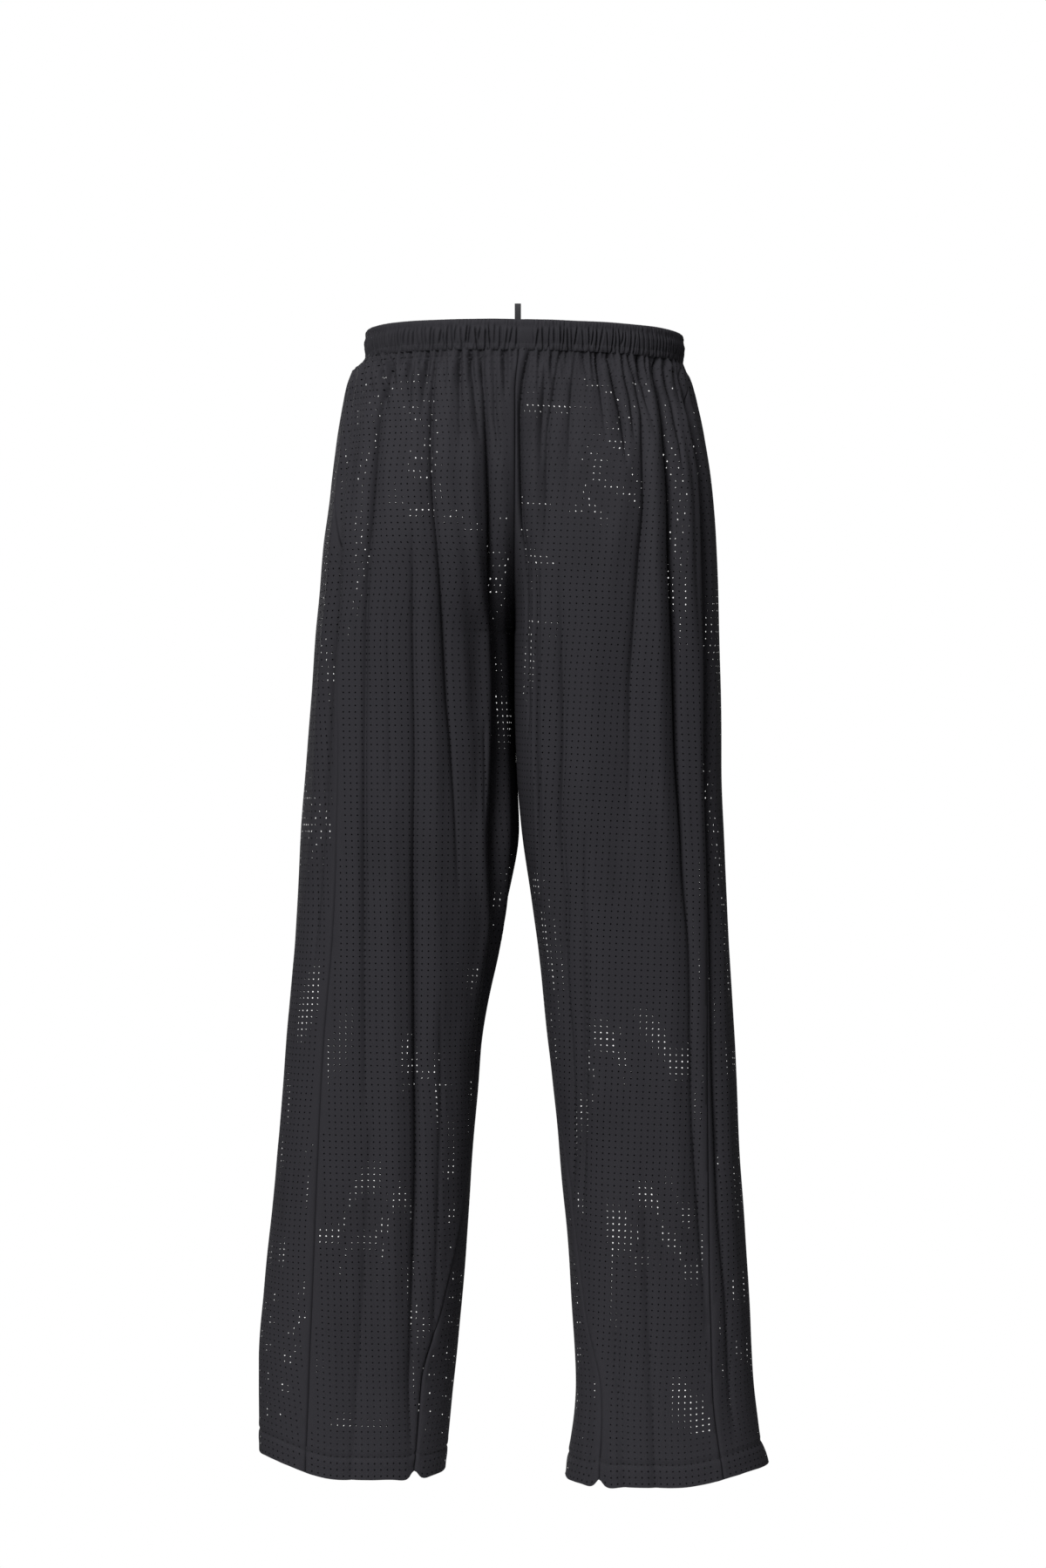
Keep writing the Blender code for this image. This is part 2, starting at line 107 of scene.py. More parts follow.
RISE = (
    (-15, 1.0), (-75, 0.98), (-122, 0.94), (-150, 0.89), (-180, 0.79),
    (-205, 0.66), (-225, 0.50), (-240, 0.34), (-250, 0.17), (-255, 0.0),
)
CENTRE = ((-15, 4), (-51, 7), (-255, 7), (-358, 7), (-405, 4), (-429, 2.5))

# Each row of a fold is a point of its valley: height, x, depth and half width.
LEFT_BACK = {
    "seat_inner": (
        (-12, 38, 5, 7), (-56, 33.4, 6, 7), (-94, 31, 8, 7), (-140, 28, 10, 8), (-193, 25, 14, 9),
        (-253, 22.7, 18, 10), (-314, 21.2, 21, 10), (-390, 21.4, 23, 10), (-428, 22.2, 21, 10),
        (-505, 24, 15, 9), (-560, 31, 8, 9), (-600, 37, 4, 9), (-700, 46, 0, 9),
    ),
    "seat_slim": ((-12, 25, 3, 5), (-41, 24.6, 3, 5), (-71, 24, 3, 5), (-94, 21.5, 2, 5), (-117, 21, 0, 5)),
    "seat_middle": (
        (-12, 75.8, 5, 6), (-56, 80.3, 6, 7), (-94, 80.3, 5, 7), (-140, 78, 4.5, 7), (-193, 72.8, 5, 8),
        (-253, 68.2, 5.5, 8), (-314, 65.2, 5, 8), (-352, 62, 4, 8), (-428, 58, 2.5, 8), (-500, 56, 0, 8),
    ),
    "leg_middle": (
        (-150, 95, 0, 8), (-180, 94.8, 2, 9), (-253, 95, 4, 9), (-352, 94, 4, 9), (-466, 95.6, 6, 9),
        (-543, 94.7, 8, 10), (-620, 93.9, 9, 10), (-712, 93.2, 8, 10), (-804, 95.5, 7, 10),
        (-850, 97, 5, 10), (-934, 100, 3, 9), (-985, 99, 1, 9),
    ),
    "seat_outer": (
        (-12, 113.7, 3, 6), (-41, 121.3, 6, 7), (-71, 128.9, 7, 7), (-117, 131.9, 8, 8), (-162, 134.2, 7, 9),
        (-223, 137.2, 5, 9), (-314, 138.7, 4, 9), (-466, 140, 5, 10), (-543, 139.4, 4, 10),
        (-620, 138.6, 3, 10), (-700, 139, 0, 10),
    ),
    "thigh_short": ((-330, 36, 0, 6), (-352, 35.4, 2, 6), (-390, 35, 2, 6), (-430, 36, 0, 6)),
    "knee_slim": ((-205, 117.5, 0, 10), (-260, 117, 1.6, 11), (-360, 116, 1.8, 11), (-420, 115, 0, 11)),
    "shin_outer": (
        (-660, 132, 0, 12), (-740, 136, 2.4, 13), (-860, 142, 3.2, 14), (-950, 148, 2.6, 13), (-1008, 152, 2, 12),
    ),
    "shin_inner": (
        (-560, 74, 0, 10), (-640, 72, 2.2, 10), (-740, 74, 2.6, 11), (-860, 78, 2.2, 11), (-960, 84, 1.5, 11),
        (-1008, 86, 1, 11),
    ),
}
LEFT_SIDE = (
    (-28, 149, 0, 4), (-51, 153, 3, 4), (-94, 156.2, 7, 5), (-140, 159.9, 11, 6), (-193, 163.7, 12, 7),
    (-253, 167.5, 12, 8), (-314, 172, 9, 8), (-352, 173.6, 7, 8), (-428, 178, 4, 8), (-505, 183, 3, 8), (-560, 187, 0, 8),
)
RIGHT_BACK = {
    "centre": (
        (-12, -6.1, 5, 5), (-41, 0, 5.5, 5.5), (-71, 2.3, 7, 6), (-140, 1.5, 7, 6), (-162, 0.8, 6, 6),
        (-193, -2.3, 5, 6), (-253, -3, 3, 6), (-314, -4.5, 3, 6), (-352, -5, 0, 6),
    ),
    "sharp": (
        (-180, -12.9, 0, 2.4), (-210, -12.9, 2, 2.4), (-253, -12.9, 3, 2.4), (-352, -12.9, 3.4, 2.4),
        (-428, -14.5, 3.2, 2.4), (-466, -15, 2, 2.4), (-520, -16, 0, 2.4),
    ),
    "thigh_inner": (
        (-200, -32, 0, 12), (-253, -33.4, 3, 12), (-352, -35, 4, 12), (-428, -32.9, 4, 12), (-505, -37.6, 4, 12),
        (-543, -36, 4, 12), (-620, -40.8, 4.5, 12), (-712, -43, 4, 12), (-775, -42, 0, 12),
    ),
    "knee": ((-430, -55, 0, 8), (-466, -55, 2, 8), (-543, -55.4, 3, 8), (-620, -54.7, 4, 8), (-712, -52.4, 3.5, 8), (-790, -52, 0, 8)),
    "slim_1": ((-12, -19.6, 3, 4), (-56, -18, 3, 4), (-94, -15.8, 1.6, 4), (-120, -15, 0, 4)),
    "slim_2": ((-12, -32.6, 4, 5), (-56, -25.8, 4, 6), (-94, -21, 3, 6), (-162, -19.7, 2, 6), (-193, -19, 0, 6)),
    "slim_3": ((-12, -46.2, 3.2, 5), (-41, -43, 3.2, 5), (-94, -40, 2, 6), (-125, -39, 0, 6)),
    "seat_1": ((-12, -75, 6, 6), (-41, -80.3, 7, 6), (-71, -86.4, 7, 7), (-94, -88.7, 4, 7), (-117, -90, 0, 7)),
    "seat_2": ((-12, -88, 4, 4), (-30, -89.4, 5, 4.5), (-56, -94.8, 5, 5), (-71, -96.3, 4, 5), (-95, -98, 0, 5)),
    "seat_middle": (
        (-12, -93.2, 3.5, 5), (-41, -100, 5, 6), (-71, -105, 5, 7), (-94, -105.4, 5, 8), (-140, -106, 5, 9),
        (-193, -101.6, 6, 12), (-253, -97, 5, 13), (-314, -93.2, 4, 13), (-390, -93, 2, 13), (-450, -93, 0, 13),
    ),
    "seat_outer": (
        (-12, -118, 5, 5), (-30, -119, 6, 6), (-56, -123.6, 11, 7), (-94, -127.3, 12, 8), (-140, -130.4, 14, 9),
        (-193, -131, 15, 9), (-223, -132.7, 15, 9), (-283, -135, 13, 9), (-352, -136.4, 11, 9), (-428, -140.8, 8, 9),
        (-466, -142.3, 6.5, 9), (-543, -148, 4, 9), (-666, -150, 4, 9), (-758, -155.5, 4.5, 9), (-850, -162.5, 3, 9),
        (-920, -166, 0, 9),
    ),
    "outer_2": ((-12, -126, 4, 4), (-30, -127.3, 6, 5), (-56, -132.7, 7, 5), (-71, -135, 7, 6), (-94, -138, 4, 6), (-125, -140, 0, 6)),
    "shin_middle": (
        (-700, -104, 0, 12), (-780, -108, 2.4, 13), (-880, -112, 3, 13), (-960, -116, 2.2, 12), (-1008, -118, 1.8, 12),
    ),
    "shin_inner": ((-760, -78, 0, 9), (-830, -80, 1.8, 10), (-920, -84, 2.4, 10), (-1008, -90, 1.6, 10)),
}
RIGHT_SIDE = (
    (-20, -139, 0, 4), (-34, -141, 3, 4), (-56, -145, 7, 5), (-80, -149, 8, 5), (-117, -156, 10, 6),
    (-162, -158.6, 11, 6), (-223, -160, 12, 6), (-283, -162, 12, 7), (-352, -162.5, 12, 7), (-428, -164.5, 9, 7),
    (-505, -167, 7.5, 8), (-581, -169, 7, 8), (-666, -171, 7, 8), (-712, -172.8, 7, 8), (-758, -174, 5, 8),
    (-850, -181, 4, 8), (-934, -185.5, 3, 8), (-985, -189, 0, 8),
)
# Short gathers under the waistband: x where they start and where they end, how far down they run,
# depth and half width.
GATHER_COLUMNS = ("x_top", "x_end", "reach", "depth", "width")
LEFT_GATHERS = (
    (130.5, 117.0, 62, 2.6, 3.6), (124.0, 110.0, 40, 2.2, 3.2), (101.5, 99.0, 74, 2.6, 3.8),
    (91.0, 88.0, 34, 1.8, 3.0), (84.5, 88.5, 66, 2.8, 3.6), (66.8, 69.5, 48, 2.0, 3.4),
    (55.8, 54.2, 95, 2.7, 3.8), (47.0, 37.5, 88, 2.4, 3.6), (16.2, 15.6, 58, 2.2, 3.0), (136.5, 133.0, 46, 2.4, 3.4),
    (142.0, 141.0, 38, 2.0, 3.0), (108.0, 106.5, 26, 1.8, 2.8), (70.5, 73.0, 24, 1.4, 2.6),
)
RIGHT_GATHERS = (
    (-14.8, -12.5, 46, 2.4, 3.2), (-52.5, -58.0, 44, 2.6, 3.6), (-64.8, -73.0, 92, 3.2, 4.2),
    (-58.8, -63.0, 26, 1.8, 2.8), (-101.0, -116.0, 84, 3.2, 4.0), (-107.5, -110.5, 30, 1.8, 2.8),
    (-38.5, -36.5, 30, 1.8, 3.0), (-26.0, -24.5, 26, 1.6, 2.8), (-132.0, -140.0, 60, 2.6, 3.4),
    (-112.0, -118.0, 36, 2.2, 3.0), (-70.0, -70.5, 22, 1.6, 2.6),
)
LEFT_FRONT = {
    "hip": (
        (-12, 104, 3, 6), (-80, 112, 7, 7), (-160, 120, 9, 9), (-260, 124, 7, 10), (-400, 130, 4, 11),
        (-620, 150, 4, 12), (-800, 166, 5, 12), (-1008, 184, 1.5, 11),
    ),
    "lap": (
        (-12, 60, 4, 6), (-80, 58, 8, 7), (-180, 60, 9, 8), (-300, 66, 7, 10), (-450, 76, 5, 11),
        (-600, 96, 8, 11), (-760, 122, 8, 11), (-1008, 142, 1.5, 11),
    ),
    "rise": (
        (-12, 26, 3, 5), (-90, 26, 6, 6), (-170, 28, 8, 7), (-240, 34, 7, 8), (-340, 38, 5, 9),
        (-480, 48, 4, 10), (-700, 82, 3, 10), (-900, 96, 0, 10),
    ),
    "lap_short": ((-120, 84, 0, 8), (-190, 86, 4, 8), (-280, 92, 4.5, 9), (-400, 98, 2, 10), (-470, 100, 0, 10)),
    "shin": ((-640, 112, 0, 10), (-720, 98, 4, 10), (-840, 92, 5, 10), (-950, 98, 3, 10), (-1008, 102, 1, 10)),
    "outer": ((-420, 176, 0, 10), (-520, 182, 3, 11), (-680, 196, 4, 12), (-840, 210, 4, 12), (-1008, 218, 1, 11)),
}
RIGHT_FRONT = {
    "hip": (
        (-12, -100, 3, 6), (-80, -108, 6, 7), (-160, -116, 8, 8), (-260, -120, 8, 10), (-400, -122, 5, 11),
        (-620, -134, 3, 12), (-800, -146, 5, 12), (-1008, -160, 1.5, 11),
    ),
    "lap": (
        (-12, -56, 4, 6), (-80, -56, 7, 7), (-180, -62, 8, 8), (-300, -66, 8, 10), (-450, -72, 4, 11),
        (-600, -86, 7, 11), (-760, -100, 8, 11), (-1008, -116, 1.5, 11),
    ),
    "rise": (
        (-12, -20, 3, 5), (-90, -22, 7, 6), (-170, -24, 8, 7), (-240, -30, 7, 8), (-340, -34, 4, 9),
        (-480, -42, 3, 10), (-700, -66, 4, 10), (-900, -78, 0, 10),
    ),
    "lap_short": ((-150, -88, 0, 8), (-220, -90, 3.6, 8), (-320, -94, 4.5, 9), (-430, -98, 2, 10), (-500, -100, 0, 10)),
    "shin": ((-600, -112, 0, 10), (-700, -122, 4, 10), (-820, -128, 5, 10), (-940, -130, 3, 10), (-1008, -132, 1, 10)),
    "outer": ((-460, -162, 0, 10), (-560, -166, 3, 11), (-700, -172, 4, 12), (-860, -182, 4, 12), (-1008, -190, 1, 11)),
}
# The grain line of each panel: x at a few heights, and how much the rows of holes slope across it.
GRAIN = {
    (1, "back"): (((-12, 127), (-500, 117), (-1008, 106)), -0.012),
    (-1, "back"): (((-12, -126), (-500, -104), (-1008, -84)), 0.045),
    (1, "front"): (((-12, 84), (-500, 104), (-1008, 126)), 0.012),
    (-1, "front"): (((-12, -84), (-500, -98), (-1008, -112)), -0.045),
}


def smooth(rows, place, z):
    """One column of a table at heights z, on a curve that runs through its rows without overshoot."""
    rows = sorted(rows)
    x = np.array([row[0] for row in rows], float)
    y = np.array([row[place] for row in rows], float)
    z = np.clip(z, x[0], x[-1])
    step = np.diff(x)
    rise = np.diff(y) / step
    slope = np.zeros_like(y)
    for i in range(1, len(x) - 1):
        if rise[i - 1] * rise[i] > 0:
            near, far = 2 * step[i] + step[i - 1], step[i] + 2 * step[i - 1]
            slope[i] = (near + far) / (near / rise[i - 1] + far / rise[i])
    slope[0], slope[-1] = rise[0], rise[-1]
    i = np.clip(np.searchsorted(x, z, side="right") - 1, 0, len(x) - 2)
    t = (z - x[i]) / step[i]
    return (
        (1 + 2 * t) * (1 - t) ** 2 * y[i]
        + t * (1 - t) ** 2 * step[i] * slope[i]
        + t * t * (3 - 2 * t) * y[i + 1]
        + t * t * (t - 1) * step[i] * slope[i + 1]
    )


def ease(t):
    t = np.clip(t, 0.0, 1.0)
    return t * t * (3 - 2 * t)


class Noise:
    """Smooth random heights over a plane, from a seeded table that repeats."""

    def __init__(self, seed, size=64):
        self.table = np.random.RandomState(seed).uniform(-1, 1, (size, size))
        self.size = size

    def at(self, x, y):
        i, j = np.floor(x).astype(int), np.floor(y).astype(int)
        s, t = ease(x - i), ease(y - j)
        a, n = self.table, self.size
        low = a[i % n, j % n] * (1 - s) + a[(i + 1) % n, j % n] * s
        high = a[i % n, (j + 1) % n] * (1 - s) + a[(i + 1) % n, (j + 1) % n] * s
        return low * (1 - t) + high * t


class Leg:
    """The cloth of one leg as a fine table: a row for each level, samples round it."""

    def __init__(self, hand):
        self.hand = hand
        z = self.z = np.linspace(TOP, BOTTOM, LEVELS)
        table = LEFT_SECTIONS if hand > 0 else RIGHT_SECTIONS
        value = {name: smooth(table, i, z) for i, name in enumerate(SECTION_COLUMNS) if i}
        share = smooth(RISE, 1, z)
        self.depth = value["y_back"], value["y_front"]
        centre = self.centre = smooth(CENTRE, 1, z)
        folds = self.folds(z)
        drape, ripple = Noise(11 + hand), Noise(23 + hand)
        shape = (LEVELS, COUNT)
        self.a, self.x, self.y, self.h, self.plain = (np.zeros(shape) for _ in range(5))
        self.nx, self.ny = np.zeros(shape), np.zeros(shape)
        self.start, self.side, self.end = np.zeros(LEVELS), np.zeros(LEVELS), np.zeros(LEVELS)
        self.reference = {"back": np.zeros(LEVELS), "front": np.zeros(LEVELS)}
        grain = {panel: smooth(GRAIN[(hand, panel)][0], 1, z) for panel in ("back", "front")}
        for k in range(LEVELS):
            v = {name: column[k] for name, column in value.items()}
            cx, cy = v["cx"], (v["y_back"] + v["y_front"]) / 2
            deep = (v["y_back"] - v["y_front"]) / 2
            out = hand * (v["x_out"] - cx)
            opened = z[k] > CROTCH + 1e-6
            reach = hand * (cx - centre[k])
            if opened:
                wide = max(1 - share[k] ** v["power_in"], 1e-6) ** (1 / v["power_in"])
                inn = max(reach, 1.0) / wide if reach > 1 else 145.0
            else:
                inn = hand * (cx - v["x_in"])
                if z[k] > -450:
                    inn = min(inn, reach)

            def angle_at(x, front):
                away = hand * (x - cx)
                power = v["power_front"] if front else v["power_out"] if away >= 0 else v["power_in"]
                s = min(abs(away) / (out if away >= 0 else inn), 0.9999) ** (power / 2)
                s = s if away >= 0 else -s
                return math.pi - math.asin(s) if front else math.asin(s)

            side = math.radians(v["side"])
            if opened:
                start, end = angle_at(centre[k], False), angle_at(centre[k], True)
            else:
                start = math.radians(v["inseam"])
                end = start + 2 * math.pi
            angle = np.linspace(start, end, COUNT)
            s, c = np.sin(angle), np.cos(angle)
            power = np.where(c < 0, v["power_front"], np.where(s < 0, v["power_in"], v["power_out"]))
            x = cx + hand * np.where(s < 0, inn, out) * np.sign(s) * np.abs(s) ** (2 / power)
            y = cy + deep * np.sign(c) * np.abs(c) ** (2 / power)
            along = np.concatenate([[0], np.cumsum(np.hypot(np.diff(x), np.diff(y)))])
            nx, ny = -hand * np.gradient(y), hand * np.gradient(x)
            length = np.hypot(nx, ny)
            nx, ny = nx / length, ny / length
            seam = np.interp(side, angle, along)
            push = np.zeros(COUNT)
            for fold_x, depth, width, kind in folds:
                if depth[k] < 0.02:
                    continue
                if kind == "share":
                    place = seam + fold_x[k] * (along[-1] - seam)
                else:
                    place = np.interp(angle_at(fold_x[k], kind == "front"), angle, along)
                t = np.abs(along - place) / width[k]
                m = t < 5.0
                # A crease at the bottom of a soft valley, between two low ridges.
                narrow = max(CREASE, 1.55 / width[k])
                push[m] -= depth[k] * (0.95 * np.exp(-((t[m] / narrow) ** 1.25)) + 0.42 * np.exp(-t[m] ** 1.6))
                push[m] += 0.22 * depth[k] * np.exp(-(((t[m] - 2.0) / 0.8) ** 2))
            # The waistband covers the top edge.
            if k < 6:
                push += (-1.6, -0.6, 0.4, 0.6, 0.4, 0.2)[k]
                push -= (1.0, 0.9, 0.6, 0.3, 0.1, 0.0)[k] * (2.2 if hand > 0 else 0.4) * np.abs(s) ** 1.5
            # The legs lie against each other down to the knee, and meet at the centre seam above.
            touch = ease((z[k] + 520.0) / 60.0)
            near = 1 - touch * (1 - ease(np.abs(x - centre[k]) / 22.0))
            push = np.where(push > 0, push * near, push)
            # The cloth hangs a little unevenly all over.
            quiet = (ease((z[k] - BOTTOM) / 60.0) * 0.75 + 0.25) * near
            from_seam = along - seam
            push += quiet * 0.85 * drape.at(from_seam / 27.0 + 20, np.full(COUNT, z[k] / 105.0 + 40))
            push += quiet * 0.40 * ripple.at(from_seam / 12.0 + 40, np.full(COUNT, z[k] / 52.0 + 40) + from_seam / 90.0)
            # Seams: the cloth is a little thicker where the allowance lies under it.
            push += 0.45 * ease((along - seam + 8.0) / 2.0) * ease((seam - along) / 0.8)
            if opened:
                if hand < 0:
                    push += 0.5 * ease(along / 1.0) * ease((7.5 - along) / 2.0)
                push -= 0.5 * (1 - ease(along / 4.0))
            else:
                push += 0.4 * ease((7.0 - along) / 2.0) * (1 - touch)
                push += 0.6 * touch * (1 - ease(np.abs(x - centre[k]) / 9.0))
            # The hem's end flares at the outer side of the right leg.
            if hand < 0:
                outer = along - np.interp(math.pi / 2, angle, along)
                push += 5.0 * ease((-z[k] - 984.0) / 24.0) * np.exp(-((outer / 26.0) ** 2))
            self.x[k] = x + nx * push * np.maximum(near, 0.0 if opened else np.where(push > 0, 1.0, 0.0))
            self.y[k] = y + ny * push
            fx, fy = -hand * np.gradient(self.y[k]), hand * np.gradient(self.x[k])
            length = np.hypot(fx, fy)
            self.nx[k], self.ny[k] = fx / length, fy / length
            folded = np.concatenate([[0], np.cumsum(np.hypot(np.diff(self.x[k]), np.diff(self.y[k])))])
            self.a[k], self.plain[k] = folded, along - seam
            self.side[k] = np.interp(seam, along, folded)
            for panel in ("back", "front"):
                self.reference[panel][k] = np.interp(angle_at(grain[panel][k], panel == "front"), angle, along) - seam
            # At the hem the inner seam is drawn up a little.
            from_inner = np.minimum(along, along[-1] - along)
            drawn = ease((-z[k] - 975.0) / 33.0) * (6.0 * np.exp(-((from_inner / 4.5) ** 2)) - 1.5 * np.exp(-(((from_inner - 11) / 8.0) ** 2)))
            down = ease((-z[k] - 760.0) / 245.0)
            up = ease((z[k] + 90.0) / 75.0)
            pulled = SEAM_RISE[hand] * ease(np.sin(np.clip(angle, 0, math.pi))) - HEM_DROP[hand]
            self.h[k] = z[k] + down * (pulled + 1.8) + TILT * self.x[k] * up + drawn
        # Close to the waistband the cloth is measured evenly across, so its columns run on into the gathers.
        calm = int(round((TOP + 104.0) / STEP))
        back_share = self.side[calm] / -self.plain[calm, 0]
        front_share = (self.a[calm, -1] - self.side[calm]) / self.plain[calm, -1]
        for k in range(calm):
            blend = ease((z[k] + 104.0) / 50.0)
            middle = -self.plain[k, 0] * back_share
            even = middle + self.plain[k] * np.where(self.plain[k] < 0, back_share, front_share)
            self.a[k] = self.a[k] * (1 - blend) + even * blend
            self.side[k] = self.side[k] * (1 - blend) + middle * blend
        self.end = self.a[:, -1].copy()
        for panel in ("back", "front"):
            # The grain runs straight: what a fold takes in is smoothed along the leg.
            row = np.array([
                np.interp(self.reference[panel][k], self.plain[k], self.a[k]) - self.side[k] for k in range(LEVELS)])
            kernel = np.hanning(81)
            kernel /= kernel.sum()
            self.reference[panel] = self.side + np.convolve(np.pad(row, 40, mode="edge"), kernel, "valid")
        # The stitches draw the hem in.
        stitch = int(round((TOP - BOTTOM - HEM_HEIGHT) / STEP))
        self.stitch = stitch
        for k, push in ((-2, 0.15), (-1, 0.1), (0, -1.0), (1, 0.2), (2, 0.35), (3, 0.35), (4, 0.2)):
            self.move(stitch + k, push)

    def move(self, k, push):
        self.x[k] += self.nx[k] * push
        self.y[k] += self.ny[k] * push

    def folds(self, z):
        """(x, depth, half width, kind) at each level, for every fold and gather of this leg."""
        hand = self.hand
        found = []
        back = LEFT_BACK if hand > 0 else RIGHT_BACK
        front = LEFT_FRONT if hand > 0 else RIGHT_FRONT
        side = LEFT_SIDE if hand > 0 else RIGHT_SIDE
        for rows, kind in (
            [(r, "back") for r in back.values()] + [(side, "back")] + [(r, "front") for r in front.values()]
        ):
            x, depth, width = (smooth(rows, i, z) for i in (1, 2, 3))
            start = ease((TOP - 1.0 - z) / 11.0)
            found.append((x, depth * (0.4 + 0.6 * start), width * (0.6 + 0.4 * start), kind))
        for x_top, x_end, reach, depth, width in LEFT_GATHERS if hand > 0 else RIGHT_GATHERS:
            found.append(self.gather(z, x_top, x_end, reach, depth, width, "back"))
        rng = np.random.RandomState(81 + hand)
        x = 9.0
        while x < 150.0:
            # Small gathers just under the waistband, between the long ones.
            end = x * rng.uniform(1.0, 1.05)
            found.append(self.gather(
                z, hand * x, hand * end, rng.uniform(14, 42), rng.uniform(1.2, 2.3), rng.uniform(1.7, 2.3), "back"))
            x += rng.uniform(3.6, 6.4) * (1.0 if x < 110 else 0.7)
        rng = np.random.RandomState(51 + hand)
        share = 0.015
        while share < 0.985:
            reach, depth = rng.choice([26, 34, 48, 70, 110]) * rng.uniform(0.8, 1.2), rng.uniform(1.6, 3.2)
            drift = rng.uniform(-0.012, 0.012)
            found.append(self.gather(z, share, share + drift, reach, depth, rng.uniform(2.8, 4.0), "share"))
            share += rng.uniform(0.030, 0.052)
        return found

    def gather(self, z, x_top, x_end, reach, depth, width, kind):
        t = np.clip((TOP - z) / reach, 0, 1)
        start = ease((TOP - 1.0 - z) / 10.0)
        deep = 2.3 * depth * (1 - t) ** 0.9 * (t < 1) * (0.4 + 0.6 * start)
        return x_top + (x_end - x_top) * t, deep, width * (0.7 + 0.3 * start) + 1.2 * t, kind

    def points(self, place, level, push=None):
        """Points at these places along the folded cloth and these levels, which need not be whole.

        Between two levels the cloth is mixed at the same place on the plain form, so that folds run on.
        """
        place, level = np.broadcast_arrays(np.asarray(place, float), np.asarray(level, float))
        level = np.clip(level, 0, LEVELS - 1)
        k = np.minimum(level.astype(int), LEVELS - 2)
        f = level - k
        out = np.zeros((len(place), 3))
        order = np.argsort(k, kind="stable")
        edges = np.searchsorted(k[order], np.arange(LEVELS))
        for row in range(LEVELS - 1):
            pick = order[edges[row]:edges[row + 1]]
            if not len(pick):
                continue
            t = f[pick]
            here = np.interp(place[pick], self.a[row], self.plain[row])
            below = np.interp(place[pick] + self.shift[row], self.a[row + 1], self.plain[row + 1])
            at = here * (1 - t) + below * t
            for r, w in ((row, 1 - t), (row + 1, t)):
                for i, field in enumerate((self.x, self.y, self.h)):
                    value = np.interp(at, self.plain[r], field[r])
                    if push is not None and i < 2:
                        value = value + push[pick] * np.interp(at, self.plain[r], (self.nx, self.ny)[i][r])
                    out[pick, i] += w * value
        return out

    def use(self, panel):
        """Measures places from this panel's grain line from here on."""
        self.line = self.reference[panel]
        self.shift = np.diff(self.line)
        return self

    def at(self, u, level, push=None):
        """u is measured from the grain line at that level."""
        level = np.clip(np.asarray(level, float), 0, LEVELS - 1)
        k = np.minimum(level.astype(int), LEVELS - 2)
        return self.points(np.asarray(u, float) + self.line[k], level, push)


def make_mesh(name, points, faces, material, uv=None, sharp=None):
    """A smooth mesh from points in millimetres and an array, or list, of faces."""
    mesh = bpy.data.meshes.new(name)
    points = np.asarray(points, np.float64) * MM
    mesh.vertices.add(len(points))
    mesh.vertices.foreach_set("co", points.astype(np.float32).ravel())
    if isinstance(faces, np.ndarray):
        sizes = np.full(len(faces), faces.shape[1])
        loops = faces.ravel()
    else:
        sizes = np.array([len(f) for f in faces])
        loops = np.array([i for f in faces for i in f])
    mesh.loops.add(len(loops))
    mesh.loops.foreach_set("vertex_index", loops.astype(np.int32))
    mesh.polygons.add(len(sizes))
    mesh.polygons.foreach_set("loop_start", np.concatenate([[0], np.cumsum(sizes)[:-1]]).astype(np.int32))
    mesh.polygons.foreach_set("loop_total", sizes.astype(np.int32))
    mesh.update(calc_edges=True)
    mesh.validate()
    mesh.shade_smooth()
    if sharp:
        mesh.set_sharp_from_angle(angle=math.radians(sharp))
    if uv is not None:
        layer = mesh.uv_layers.new(name="OFBake")
        layer.data.foreach_set("uv", uv[loops].astype(np.float32).ravel())
    mesh.materials.append(material)
    made = bpy.data.objects.new(name, mesh)
    bpy.context.scene.collection.objects.link(made)
    return made


def zip_lines(first, second, at_first, at_second):
    """Triangles between two lines of vertices that both run the same way."""
    i = j = 0
    made = []
    while i < len(first) - 1 or j < len(second) - 1:
        if j == len(second) - 1 or (i < len(first) - 1 and at_first[i + 1] <= at_second[j + 1] + 1e-9):
            made.append((first[i], first[i + 1], second[j]))
            i += 1
        else:
            made.append((first[i], second[j + 1], second[j]))
            j += 1
    return made


EDGE = (0.0, 0.55, 1.5)  # columns beside a seam, by their distance from it
DIP = (-1.9, -0.75, 0.0)  # and how far each one dips into the seam
QUARTER = STEP / 2  # the finest spacing of the mesh, a quarter of the pitch


